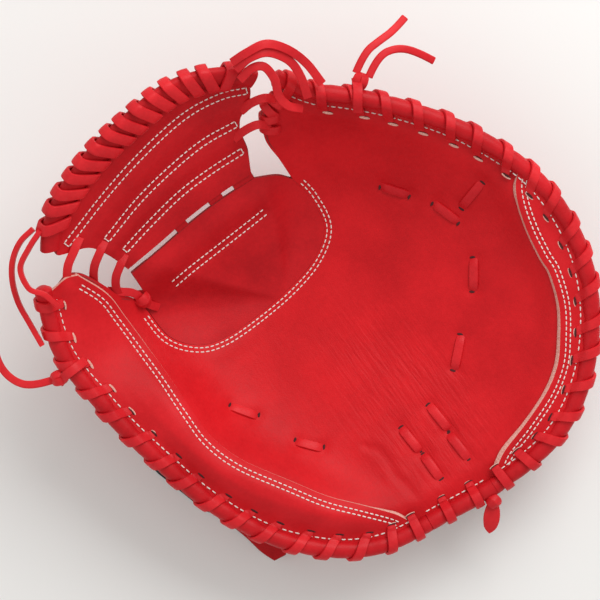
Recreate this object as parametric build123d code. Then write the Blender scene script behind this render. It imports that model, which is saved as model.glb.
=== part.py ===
from build123d import *
import math
import os

# A catcher's mitt lying on its back, pocket up.  Millimetres, +Z up.
# Leather, pads and linings are strips of a few shared height surfaces: the pocket face and the
# back face.  A strip runs between two plan curves and is lofted through cross-sections.
# The thumb side and the finger side fold up from the palm about two lines that meet at the heel.

# ---------------------------------------------------------------- driving dimensions
CENTRE = (-8.0, 0.0)  # plan point that the rim's radii are measured from
RIM = [  # plan angle in degrees, plan radius, height of the binding's centre
    (6.8, 159.4, 64.0),
    (23.5, 148.2, 71.0),
    (39.7, 132.0, 78.0),
    (58.5, 117.0, 85.0),
    (80.2, 108.8, 92.0),
    (90.0, 112.5, 97.0),
    (101.0, 122.0, 108.0),
    (116.0, 126.1, 119.0),
    (131.2, 124.2, 123.0),
    (146.0, 126.5, 120.0),
    (163.6, 130.5, 108.0),
    (181.2, 123.9, 86.0),
    (192.9, 119.8, 80.0),
    (209.0, 110.4, 74.0),
    (231.1, 107.4, 67.0),
    (250.6, 114.9, 60.0),
    (271.1, 129.2, 53.0),
    (289.3, 140.3, 49.0),
    (306.3, 142.9, 47.0),
    (320.8, 151.7, 47.0),
    (335.1, 162.5, 50.0),
    (349.5, 164.1, 56.0),
]
RIM_ABOVE, RIM_BELOW = 2.5, 7.0  # pocket face and back face, from the binding's centre

# Plan angles round the rim, all in one turn from the thumb tip, past the heel, to the finger tip.
THUMB_TIP, FINGER_TIP = 177.0, 453.0
HEEL_THUMB, HEEL_FINGER = 303.5, 317.7  # where the two folds reach the rim
WEB_LEFT, WEB_RIGHT = 163.0, 101.0

# The two folds: plan point and height at the heel, plan point and height at the web's notch.
THUMB_FOLD = ((71.0, -120.0, 46.0), (-96.0, -4.0, 60.0))
FINGER_FOLD = ((103.0, -101.0, 46.0), (-2.0, 74.0, 58.0))
FOLD_CLEARANCE = 3.0  # the folding sides stand this far off the palm's own pieces

WEB_SEAM = [  # plan line where the web's base is sewn to the palm
    (-85.0, -4.0),
    (-72.0, -20.0),
    (-56.0, -25.0),
    (-41.7, -21.1),
    (-24.0, -9.0),
    (-5.6, 6.7),
    (8.0, 23.0),
    (13.5, 40.0),
    (6.0, 56.0),
    (-4.0, 66.0),
]
WEB_SLOT = [(-92.0, 14.0), (-75.0, 28.0), (-59.0, 42.0), (-42.0, 55.0), (-25.0, 66.0)]
THUMB_WELT = [  # plan line of the thumb welt's raw inner edge
    (-117.7, 8.0),
    (-103.6, -1.0),
    (-83.3, -25.0),
    (-59.3, -58.2),
    (-47.3, -74.3),
    (-30.3, -86.9),
    (-2.8, -99.0),
    (34.1, -111.7),
    (56.0, -118.5),
]
FINGER_WELT = [  # the same on the finger side
    (109.0, -89.0),
    (122.6, -67.9),
    (133.9, -50.8),
    (141.0, -21.2),
    (140.2, -3.3),
    (130.1, 22.2),
    (117.4, 51.2),
    (114.0, 68.0),
]

POCKET_FLOOR = 28.0  # height of the pocket face under the centre
HEEL_DIRECTION = 310.0  # plan angle of the heel seen from the centre
HEEL_RISE = 0.07  # the pocket floor rises this much per millimetre towards the heel
BACK_REST = 3.8  # lowest point of the back face: the cuff and strap lie under it
BODY_POWER, WEB_POWER, BACK_POWER = 2.3, 1.5, 4.0  # how steeply each surface rises to the rim
WEB_BLEND = 25.0  # degrees over which the wall changes from body to web

LEATHER = 2.2
LAYER_GAP = 0.8  # clearance between neighbouring layers
LINING = 1.4
PAD_SHARE = 0.42  # share of the wall's thickness that lies above the pads' lower face
SHELL_EDGE, PAD_EDGE, LINING_EDGE = 0.965, 0.915, 0.84  # shares of the rim's radius
WEB_EDGE = 0.875

BINDING_RADIUS = 4.4
BINDING_EDGE = 1.022
BINDING_STEP = 13.0  # degrees between the points of its route
BINDER_INNER, BINDER_OUTER = 0.915, 1.02
BINDER_THICKNESS = 9.0
BINDER_OVERHANG = 2.0  # degrees that the binder reaches past each end of the web
WEB_BRIDGES = (0.28, 0.5, 0.72)  # where the bridges cross the slot, as shares of its length
BRIDGE_LENGTH, BRIDGE_HEADING, BRIDGE_LIFT = 11.0, 131.0, 2.2
LACE_WIDTH, LACE_THICKNESS = 5.4, 1.7
LACE_RADIUS = 1.6
WRAP_CLEARANCE = 0.35
WRAP_OPENING = 130.0  # degrees of each wrap that are left open towards the leather
WRAP_SPACING = 17.5  # along the rim
BINDER_WRAPS = 14
RING_ROOM, RING_CORNER = (4.4, 5.4), 4.2  # room inside each turn along and across, and its corners

STRAP_CENTRE, STRAP_ANGLE = (36.0, -86.0), 35.0
STRAP_LENGTH, STRAP_WIDTH, STRAP_THICKNESS = 150.0, 34.0, 2.6
ORIGIN = (4.95, -2.16)  # plan point under the middle of the whole mitt, which becomes the origin
CORD_NODES = ("top_tail_a", "top_tail_b", "left_tail")
TAB_LENGTH = 34.0
CUFF = [(-85.0, -93.0), (-50.0, -121.5), (40.0, -58.5), (30.0, 20.0), (-46.0, 18.0)]
CUFF_THICKNESS = 3.0

CORD_RADIUS = 2.0
CORD_ROUND = 0.45  # share of the shorter run that each arc of a cord takes up
KNOT_SIZE = (15.0, 9.5, 4.4)  # along the rim, upright, outwards
KNOT_GAP = 1.6  # between a knot and the turns of lace inside it
TOP_KNOT, LEFT_KNOT, HEEL_KNOT = 71.0, 199.0, 316.0  # plan angles
LEAF_LEAN = (0.6, -0.8)  # the heel's leaf points outwards and along the rim
TAIL_SPREAD = 3.6  # the two top tails leave their knot this far either side of its middle
# Each tail's route after its start on the knot's outer face.
TOP_TAIL_A = [(34.0, 131.0, 88.5), (42.0, 137.5, 86.5), (50.0, 143.5, 83.0), (56.0, 151.0, 77.5)]
TOP_TAIL_B = [(41.0, 129.0, 88.5), (51.0, 134.0, 86.5), (62.0, 132.5, 82.5), (71.5, 128.0, 76.5)]
LEFT_TAIL = [
    (-143.5, -46.5, 77.5),
    (-154.5, -43.0, 75.0),
    (-162.0, -34.5, 72.5),
    (-165.0, -23.5, 69.0),
    (-166.5, -12.0, 64.0),
    (-170.0, -1.0, 58.0),
]
PALM_BARS = [  # flat bars of lace on the pocket: x, y, heading, length, width
    (76.5, -64.6, -51.0, 17.5, 5.2),
    (87.2, -80.5, -52.0, 17.0, 5.2),
    (60.9, -77.0, -51.0, 16.5, 5.2),
    (72.4, -91.6, -54.0, 16.0, 5.2),
    (46.4, -88.8, -51.0, 18.0, 3.0),
    (59.3, -103.3, -39.0, 18.5, 3.0),
]
THUMB_BARS = [(5.0, -80.0, -14.0, 15.5, 5.0), (-31.0, -61.5, -20.0, 16.0, 5.0)]
FINGER_BARS = [
    (95.5, 14.0, -90.0, 18.0, 5.0),
    (87.0, -29.0, -101.0, 19.5, 5.0),
    (52.0, 60.0, -18.0, 16.0, 5.0),
    (80.0, 48.0, -37.0, 17.0, 5.0),
    (93.0, 57.0, -128.0, 16.5, 5.0),
]
BAR_LIFT = 2.0  # middle of a bar above the pocket face, which curves up at the bar's ends
OUTER_THUMB_STRANDS = [  # web to thumb, round the outside of the tip
    [(-146.0, 30.0, 108.0), (-151.0, 20.0, 103.0), (-152.0, 9.0, 98.0), (-149.0, -2.0, 92.0),
     (-144.5, -11.0, 88.0), (-142.5, -20.0, 84.0)],
    [(-141.0, 26.0, 110.0), (-147.0, 16.5, 107.0), (-144.0, 6.0, 104.5), (-135.5, 2.0, 102.0),
     (-128.5, -4.0, 99.0)],
]
INNER_THUMB_STRANDS = [  # web to thumb, over the gap beside the tip: plan points only
    [(-118.0, 27.0), (-122.0, 19.0), (-123.0, 10.0), (-120.5, 1.0)],
    [(-105.0, 26.0), (-108.5, 19.5), (-109.0, 11.5), (-107.0, 4.0)],
    [(-95.5, 20.5), (-98.5, 14.0), (-98.5, 6.5), (-96.0, -0.5)],
]
OUTER_FINGER_STRANDS = [
    [(-29.0, 133.5, 128.0), (-17.5, 136.5, 125.0), (-6.5, 133.0, 119.0), (3.5, 125.5, 112.0),
     (11.5, 115.5, 106.0)],
    [(-23.5, 125.5, 126.0), (-14.0, 129.0, 121.5), (-4.5, 124.0, 115.5), (1.5, 115.0, 110.0),
     (4.0, 105.5, 105.0)],
]
INNER_FINGER_STRANDS = [
    [(-27.5, 103.0), (-20.0, 105.5), (-12.0, 104.0), (-5.0, 99.5)],
    [(-31.0, 89.0), (-23.5, 92.0), (-15.5, 91.0), (-8.5, 86.5)],
]
STRAND_LIFT = 6.6  # a strand's middle above the pocket face, clear of the welt panel
LOOP_OUTSIDE = (18.0, 8.2)  # width and height of the thumb and finger loops
LOOP_LENGTH, LOOP_WALL, LOOP_CORNER = 10.0, 1.6, 3.4
THUMB_LOOP, FINGER_LOOP = (-36.0, -61.0), (76.0, 2.0)  # plan places under the linings
PATCH_THICKNESS = 0.9
WRIST_BINDING_RADIUS = 2.2
HEEL_PAD_END = 0.3  # share along the folds where the heel pad meets the palm pad
WRIST_OPENING_END = 0.45  # share along the folds where the wrist opening ends


# ---------------------------------------------------------------- the two shared surfaces
def ring_values(angle):
    """Rim radius and height at a plan angle: a cubic curve through the RIM points."""
    angle = angle % 360.0
    count = len(RIM)
    after = next((i for i in range(count) if RIM[i][0] > angle), 0)
    index = [(after + k) % count for k in (-2, -1, 0, 1)]
    around = [RIM[i][0] for i in index]
    for k in range(1, 4):
        while around[k] < around[k - 1]:
            around[k] += 360.0
    if angle < around[1] - 1e-9:
        angle += 360.0
    span = around[2] - around[1]
    share = (angle - around[1]) / span
    s2, s3 = share**2, share**3
    out = []
    for column in (1, 2):
        a, b, c, d = (RIM[i][column] for i in index)
        slope_b = (c - a) / (around[2] - around[0]) * span
        slope_c = (d - b) / (around[3] - around[1]) * span
        near = (2 * s3 - 3 * s2 + 1) * b + (s3 - 2 * s2 + share) * slope_b
        far = (3 * s2 - 2 * s3) * c + (s3 - s2) * slope_c
        out.append(near + far)
    return out


def polar(x, y):
    """Plan angle, share of the rim radius, and rim height at a plan point."""
    dx, dy = x - CENTRE[0], y - CENTRE[1]
    angle = math.degrees(math.atan2(dy, dx)) % 360.0
    radius, height = ring_values(angle)
    return angle, math.hypot(dx, dy) / radius, height


def wall_power(angle):
    """The wall's power: BODY_POWER round the body, WEB_POWER under the web."""
    distance = max(WEB_RIGHT - angle, angle - WEB_LEFT, 0.0)
    blend = max(0.0, 1.0 - distance / WEB_BLEND)
    blend = blend * blend * (3 - 2 * blend)
    return BODY_POWER + (WEB_POWER - BODY_POWER) * blend


def pocket_height(x, y):
    angle, share, rim = polar(x, y)
    heel = math.radians(HEEL_DIRECTION)
    towards_heel = (x - CENTRE[0]) * math.cos(heel) + (y - CENTRE[1]) * math.sin(heel)
    floor = POCKET_FLOOR + HEEL_RISE * towards_heel
    return floor + (rim + RIM_ABOVE - floor) * share ** wall_power(angle)


def back_height(x, y):
    _, share, rim = polar(x, y)
    return BACK_REST + (rim - RIM_BELOW - BACK_REST) * share**BACK_POWER


def slope_factor(height, x, y):
    """Vertical thickness of a layer that is 1 mm thick square to the surface."""
    step = 2.0
    dx = (height(x + step, y) - height(x - step, y)) / (2 * step)
    dy = (height(x, y + step) - height(x, y - step)) / (2 * step)
    return math.sqrt(1 + min(dx * dx + dy * dy, 4.0))


def below_pocket(depth):
    """The pocket face moved down by a depth square to itself."""
    return lambda x, y: pocket_height(x, y) - depth * slope_factor(pocket_height, x, y)


def above_back(depth):
    return lambda x, y: back_height(x, y) + depth * slope_factor(back_height, x, y)


def between(share, drop=0.0):
    """A surface part of the way from the pocket face down to the back face."""

    def height(x, y):
        return pocket_height(x, y) * (1 - share) + back_height(x, y) * share - drop

    return height


# ---------------------------------------------------------------- plan curves
def curve(points, start=0.0, end=1.0):
    """A smooth plan curve through points, as a function of 0 to 1 over part of its length."""
    edge = Spline(*[Vector(x, y) for x, y in points])

    def at(t):
        place = edge @ (start + (end - start) * t)
        return place.X, place.Y

    return at


def fold_line(fold, start, end, offset=0.0):
    """A stretch of a fold in plan, moved by an offset to its right."""
    (x0, y0, _), (x1, y1, _) = fold
    length = math.hypot(x1 - x0, y1 - y0)
    right_x, right_y = (y1 - y0) / length, (x0 - x1) / length

    def at(t):
        share = start + (end - start) * t
        return (
            x0 + (x1 - x0) * share + right_x * offset,
            y0 + (y1 - y0) * share + right_y * offset,
        )

    return at


def rim_curve(start, end, share):
    """A stretch of the rim in plan, scaled about the centre."""

    def at(t):
        angle = start + (end - start) * t
        radius = ring_values(angle)[0] * share
        a = math.radians(angle)
        return CENTRE[0] + radius * math.cos(a), CENTRE[1] + radius * math.sin(a)

    return at


# ---------------------------------------------------------------- solids
def strip(left, right, top, bottom, sections=16, points=8):
    """A slab between two height surfaces, over the plan area between two curves."""
    wires = []
    for i in range(sections):
        (x0, y0), (x1, y1) = left(i / (sections - 1)), right(i / (sections - 1))
        plan = [
            (x0 + (x1 - x0) * k / (points - 1), y0 + (y1 - y0) * k / (points - 1))
            for k in range(points)
        ]
        upper = Spline(*[Vector(x, y, top(x, y)) for x, y in plan])
        lower = Spline(*[Vector(x, y, bottom(x, y)) for x, y in plan])
        ends = [Line(upper @ s, lower @ s) for s in (0, 1)]
        wires.append(Wire([upper, ends[1], lower, ends[0]]))
    return Solid.make_loft(wires)


def rim_point(angle, share=1.0, lift=0.0):
    radius, height = ring_values(angle)
    a = math.radians(angle)
    return Vector(
        CENTRE[0] + radius * share * math.cos(a),
        CENTRE[1] + radius * share * math.sin(a),
        height + lift,
    )


def rim_plane(angle, share=1.0, lift=0.0):
    """A plane across the rim: its normal runs along the rim and its X points inwards."""
    place = rim_point(angle, share, lift)
    along = rim_point(angle + 1.5, share) - rim_point(angle - 1.5, share)
    inward = Vector(CENTRE[0], CENTRE[1], place.Z) - place
    across = inward - along * (inward.dot(along) / along.dot(along))
    return Plane(origin=place, x_dir=across, z_dir=along)


def rounded_path(points):
    """Straight runs joined by tangent arcs, each arc as large as its two runs allow."""
    places = [Vector(*p) for p in points]
    radii = []
    for before, here, after in zip(places, places[1:], places[2:]):
        turn = (here - before).get_angle(after - here)
        shorter = min((here - before).length, (after - here).length)
        radii.append(CORD_ROUND * shorter / math.tan(math.radians(turn) / 2))
    return FilletPolyline(*places, radius=radii), radii


def tube(points, radius):
    """A round tube along a rounded path."""
    path, _ = rounded_path(points)
    start = Plane(origin=path @ 0, z_dir=path % 0)
    return sweep(start * Circle(radius), path=path)


# ---------------------------------------------------------------- leather panels
def palm_leather():
    """The pocket's one large leather, from the web's seam out to the rim."""
    inner = curve(WEB_SEAM, 0.0, 1.0)
    outer = rim_curve(THUMB_TIP, FINGER_TIP, SHELL_EDGE)
    return [strip(inner, outer, pocket_height, below_pocket(LEATHER), sections=48, points=14)]


def welt_panel(raw_edge, start, end):
    """A narrow reinforcing panel on top of the palm leather, along the rim."""
    top, bottom = below_pocket(-LEATHER - LAYER_GAP), below_pocket(-LAYER_GAP)
    return [strip(curve(raw_edge), rim_curve(start, end, SHELL_EDGE), top, bottom, 18, 5)]


def web_base_panel():
    seam_side = curve([(x + dx, y + dy) for (x, y), (dx, dy) in zip(WEB_SEAM, seam_steps())])
    return [strip(seam_side, curve(WEB_SLOT), pocket_height, below_pocket(LEATHER), 24, 10)]


def seam_steps(gap=1.0):
    """Steps from each point of the web's seam towards the web, to leave a gap."""
    middle = WEB_SLOT[len(WEB_SLOT) // 2]
    steps = []
    for x, y in WEB_SEAM:
        length = math.hypot(middle[0] - x, middle[1] - y)
        steps.append(((middle[0] - x) / length * gap, (middle[1] - y) / length * gap))
    return steps


def web_panel():
    """The web's front leather, between the slot and the binder."""
    slot = curve([(x - 1.6, y + 1.9) for x, y in WEB_SLOT])
    edge = rim_curve(WEB_LEFT, WEB_RIGHT, WEB_EDGE)
    return [strip(slot, edge, pocket_height, below_pocket(LEATHER), 14, 6)]


def web_back_panel():
    """The web's rear leather, behind the base and the front panel."""
    depth = LEATHER + LAYER_GAP
    notch_to_notch = curve([(-86.0, 2.0), (-64.0, 14.0), (-44.0, 30.0), (-24.0, 48.0), (-8.0, 66.0)])
    edge = rim_curve(WEB_LEFT, WEB_RIGHT, WEB_EDGE)
    return [strip(notch_to_notch, edge, below_pocket(depth), below_pocket(depth + LEATHER), 20, 12)]


def web_bridges():
    """Three short laces that join the two web panels across the slot."""
    bridges = []
    for share in WEB_BRIDGES:
        x, y = curve(WEB_SLOT)(share)
        bridge = Box(BRIDGE_LENGTH, LACE_WIDTH, LACE_THICKNESS)
        plane = surface_plane(x - 0.8, y + 1.0, BRIDGE_HEADING, BRIDGE_LIFT)
        bridges.append(plane.location * bridge)
    return bridges


def web_binder():
    """The thick leather roll along the web's top edge."""
    inner = rim_curve(WEB_LEFT + BINDER_OVERHANG, WEB_RIGHT - BINDER_OVERHANG, BINDER_INNER)
    outer = rim_curve(WEB_LEFT + BINDER_OVERHANG, WEB_RIGHT - BINDER_OVERHANG, BINDER_OUTER)

    def crown(side):
        def height(x, y):
            _, share, _ = polar(x, y)
            across = (share - BINDER_INNER) / (BINDER_OUTER - BINDER_INNER) * 2 - 1
            bulge = math.sqrt(max(0.02, 1 - across * across))
            middle = pocket_height(x, y) - LEATHER
            return middle + side * BINDER_THICKNESS / 2 * bulge * slope_factor(pocket_height, x, y)

        return height

    return [strip(inner, outer, crown(1), crown(-1), 14, 11)]


def web_top_lace():
    """The lace wound round the binder, one flat ring for each turn."""
    rings = []
    middle = (BINDER_INNER + BINDER_OUTER) / 2
    for i in range(BINDER_WRAPS):
        angle = WEB_LEFT - (WEB_LEFT - WEB_RIGHT) * (i + 0.5) / BINDER_WRAPS
        place = rim_point(angle, middle)
        inside, outside = rim_point(angle, BINDER_INNER), rim_point(angle, BINDER_OUTER)
        inside.Z = pocket_height(inside.X, inside.Y) - LEATHER
        outside.Z = pocket_height(outside.X, outside.Y) - LEATHER
        along = rim_point(angle + 1.5, middle) - rim_point(angle - 1.5, middle)
        slope = outside - inside
        slope = slope - along * (slope.dot(along) / along.dot(along))
        place.Z = pocket_height(place.X, place.Y) - LEATHER
        plane = Plane(origin=place, x_dir=slope, z_dir=along)
        long_side = slope.length + RING_ROOM[0]
        short_side = BINDER_THICKNESS + RING_ROOM[1]
        hole = RectangleRounded(long_side, short_side, RING_CORNER)
        wall = 2 * LACE_THICKNESS
        outline = RectangleRounded(long_side + wall, short_side + wall, RING_CORNER + LACE_THICKNESS)
        rings.append(extrude(plane * (outline - hole), LACE_WIDTH / 2, both=True))
    return rings


# ---------------------------------------------------------------- pads, linings and backs
def padded_strip(left, right, sections, points=8):
    """A pad: from just under the leather to part of the way down to the back."""
    top = below_pocket(LEATHER + 2 * LAYER_GAP)
    return [strip(left, right, top, between(PAD_SHARE), sections, points)]


def lining_strip(left, right, sections, points=8):
    """A thin lining under a pad."""
    top, bottom = between(PAD_SHARE, LAYER_GAP), between(PAD_SHARE, LAYER_GAP + LINING)
    return [strip(left, right, top, bottom, sections, points)]


def back_strip(left, right, sections):
    return [strip(left, right, above_back(LEATHER), back_height, sections, 8)]


def thumb_area(edge, start=0.14, end=0.97):
    """The plan area of the thumb side: from its fold out to the rim."""
    return (
        fold_line(THUMB_FOLD, start, end, -FOLD_CLEARANCE),
        rim_curve(HEEL_THUMB - 6, THUMB_TIP + 4, edge),
    )


def finger_area(edge, start=0.14, end=0.97):
    return (
        fold_line(FINGER_FOLD, start, end, FOLD_CLEARANCE),
        rim_curve(HEEL_FINGER + 6, FINGER_TIP - 4, edge),
    )


def palm_area(start, end):
    """The plan area between the two folds."""
    return fold_line(THUMB_FOLD, start, end, 1.0), fold_line(FINGER_FOLD, start, end, -1.0)


# ---------------------------------------------------------------- rim binding and laces
def binding_route(start, end):
    """Points along the middle of the binding."""
    count = max(3, round(abs(end - start) / BINDING_STEP) + 1)
    angles = [start + (end - start) * i / (count - 1) for i in range(count)]
    return [tuple(rim_point(a, BINDING_EDGE)) for a in angles]


def binding(start, end):
    """The rolled leather binding along a stretch of the rim."""
    return [tube(binding_route(start, end), BINDING_RADIUS)]


def wrap_ring():
    """One turn of the rim lace: an open flat band round the binding."""
    inner = BINDING_RADIUS + WRAP_CLEARANCE
    outer = inner + LACE_THICKNESS
    half = math.radians(WRAP_OPENING / 2)
    far = 3 * outer
    wedge = make_face(
        Polyline(
            (0, 0),
            (far * math.cos(half), far * math.sin(half)),
            (far, 0),
            (far * math.cos(half), -far * math.sin(half)),
            close=True,
        )
    )
    return extrude(Circle(outer) - Circle(inner) - wedge, LACE_WIDTH / 2, both=True)


def rim_lace(start, end):
    """The turns of lace along a stretch of the binding."""
    ring = wrap_ring()
    path, _ = rounded_path(binding_route(start, end))
    count = max(1, round(path.length / WRAP_SPACING))
    rings = []
    for i in range(count):
        place = path @ ((i + 0.5) / count)
        along = path % ((i + 0.5) / count)
        inward = Vector(CENTRE[0], CENTRE[1], place.Z) - place
        across = inward - along * inward.dot(along)
        rings.append(Plane(origin=place, x_dir=across, z_dir=along).location * ring)
    return rings


def surface_plane(x, y, heading, lift, reach=6.0):
    """A plane on the pocket face, its X along a heading, lifted square to the face."""
    angle = math.radians(heading)
    ahead = Vector(math.cos(angle), math.sin(angle), 0) * reach
    side = Vector(-math.sin(angle), math.cos(angle)) * reach

    def on_face(offset):
        return Vector(x + offset.X, y + offset.Y, pocket_height(x + offset.X, y + offset.Y))

    along = on_face(ahead) - on_face(ahead * -1)
    across = on_face(side) - on_face(side * -1)
    normal = along.cross(across).normalized()
    return Plane(origin=on_face(Vector(0, 0)) + normal * lift, x_dir=along, z_dir=normal)


def lace_bars(bars):
    """Short flat bars of lace lying on the pocket face."""
    return [
        surface_plane(x, y, heading, BAR_LIFT).location * Box(length, width, LACE_THICKNESS)
        for x, y, heading, length, width in bars
    ]


def crotch_lace():
    """The pulled-tight knot between the thumb's tip and the web."""
    length, width, height = 13.0, 8.0, 4.4
    body = extrude(SlotOverall(length, width), height / 2, both=True)
    body = fillet(body.edges(), height * 0.3)
    return [surface_plane(-83.0, 6.0, 60.0, 3.6).location * body]


def lifted(points):
    """Plan points raised to just above the pocket face."""
    return [(x, y, pocket_height(x, y) + STRAND_LIFT) for x, y in points]


def web_strands(outer, inner):
    """The lace strands that tie the web to one side."""
    return [tube(route, LACE_RADIUS) for route in outer + [lifted(route) for route in inner]]


def knot_plane(angle):
    """The outer face of a knot on the rim: its normal points away from the pocket."""
    here = rim_plane(angle, BINDING_EDGE)
    a = math.radians(angle)
    out = Vector(math.cos(a), math.sin(a))
    off = BINDING_RADIUS + WRAP_CLEARANCE + LACE_THICKNESS + KNOT_GAP + KNOT_SIZE[2]
    return Plane(origin=here.origin + out * off, x_dir=(-out.Y, out.X, 0), z_dir=out)


def rim_knot(angle):
    """A flat knot against the outside of the binding."""
    length, height, depth = KNOT_SIZE
    body = extrude(SlotOverall(length, height), -depth)
    return [knot_plane(angle).location * body]


def heel_lace_end():
    """A knot with a leaf-shaped lace end that hangs outside the heel."""
    face = knot_plane(HEEL_KNOT)
    leaf = make_face(
        Polyline((0, -2.6), (7, -4.2), (13, -3.0), (18, 0), (13, 3.0), (7, 4.2), (0, 2.6), close=True)
    )
    leaf = extrude(leaf, LACE_THICKNESS / 2, both=True)
    lean = face.z_dir * LEAF_LEAN[0] + face.x_dir * LEAF_LEAN[1]
    hang = Plane(origin=face.origin, x_dir=lean, z_dir=(0, 0, 1))
    return rim_knot(HEEL_KNOT) + [hang.location * leaf]


def tail(knot_angle, spread, route):
    """A free lace end: its whole route and its tube."""
    face = knot_plane(knot_angle)
    start = face.origin + face.x_dir * spread
    points = [tuple(start), *route]
    path, radii = rounded_path(points)
    print("tail radii", [round(r, 1) for r in radii], "length", round(path.length, 1))
    print("tail start", [round(v, 2) for v in points[0]])
    return [tube(points, CORD_RADIUS)]


# ---------------------------------------------------------------- strap and cuff
def strap_place(along, across=0.0, z=0.0):
    """A place on the strap: distance along it from its middle, and across it."""
    return Pos(STRAP_CENTRE[0], STRAP_CENTRE[1], z) * Rot(0, 0, STRAP_ANGLE) * Pos(along, across, 0)


def wrist_strap():
    outline = RectangleRounded(STRAP_LENGTH - TAB_LENGTH, STRAP_WIDTH, 5.0)
    band = extrude(outline, STRAP_THICKNESS)
    return [strap_place(TAB_LENGTH / 2) * band]


def strap_tab():
    """The strap's free end: a tapered pull tab."""
    end = -STRAP_LENGTH / 2
    root = end + TAB_LENGTH - 1.0
    half, tip = STRAP_WIDTH / 2, STRAP_WIDTH / 2 - 8.0
    outline = Polyline(
        (root, -half),
        (end + 10, -half),
        (end, -tip),
        (end, tip),
        (end + 10, half),
        (root, half),
        close=True,
    )
    return [strap_place(0) * extrude(make_face(outline), STRAP_THICKNESS)]


def patch(along, length, z):
    """A hook-and-loop patch on the strap's upper face."""
    outline = RectangleRounded(length, STRAP_WIDTH - 10.0, 3.0)
    return [strap_place(along, 0.0, z) * extrude(outline, PATCH_THICKNESS)]


def hand_loop(x, y, turned):
    """A closed leather loop that the thumb or little finger goes through."""
    width, height = LOOP_OUTSIDE
    outline = RectangleRounded(width, height, LOOP_CORNER)
    hole = RectangleRounded(width - 2 * LOOP_WALL, height - 2 * LOOP_WALL, LOOP_CORNER - LOOP_WALL)
    base, ceiling = above_back(LEATHER), between(PAD_SHARE, LAYER_GAP + LINING)

    def middle(step):
        place = x + turned[0] * step, y + turned[1] * step
        return (base(*place) + ceiling(*place)) / 2

    half = width / 2
    rise = (middle(half) - middle(-half)) / width
    along = (turned[1], -turned[0], 0)
    plane = Plane(origin=(x, y, middle(0)), x_dir=(turned[0], turned[1], rise), z_dir=along)
    return [extrude(plane * (outline - hole), LOOP_LENGTH / 2, both=True)]


def wrist_binding():
    """The rolled edge of the back leather along the wrist opening."""
    share = WRIST_OPENING_END - 0.035
    left, right = palm_area(share, share)
    (x0, y0), (x1, y1) = left(0), right(0)
    middle = ((x0 + x1) / 2 + 3.0, (y0 + y1) / 2 - 4.0)
    places = [(x0 + 2.5, y0 + 1.8), middle, (x1 - 2.5, y1 - 1.8)]
    return [tube([(x, y, back_height(x, y) + 4.0) for x, y in places], WRIST_BINDING_RADIUS)]


def wrist_cuff():
    """The dark padded cuff under the thumb side that the hand's back lies on."""
    return [extrude(make_face(Polyline(*CUFF, close=True)), CUFF_THICKNESS)]


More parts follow.
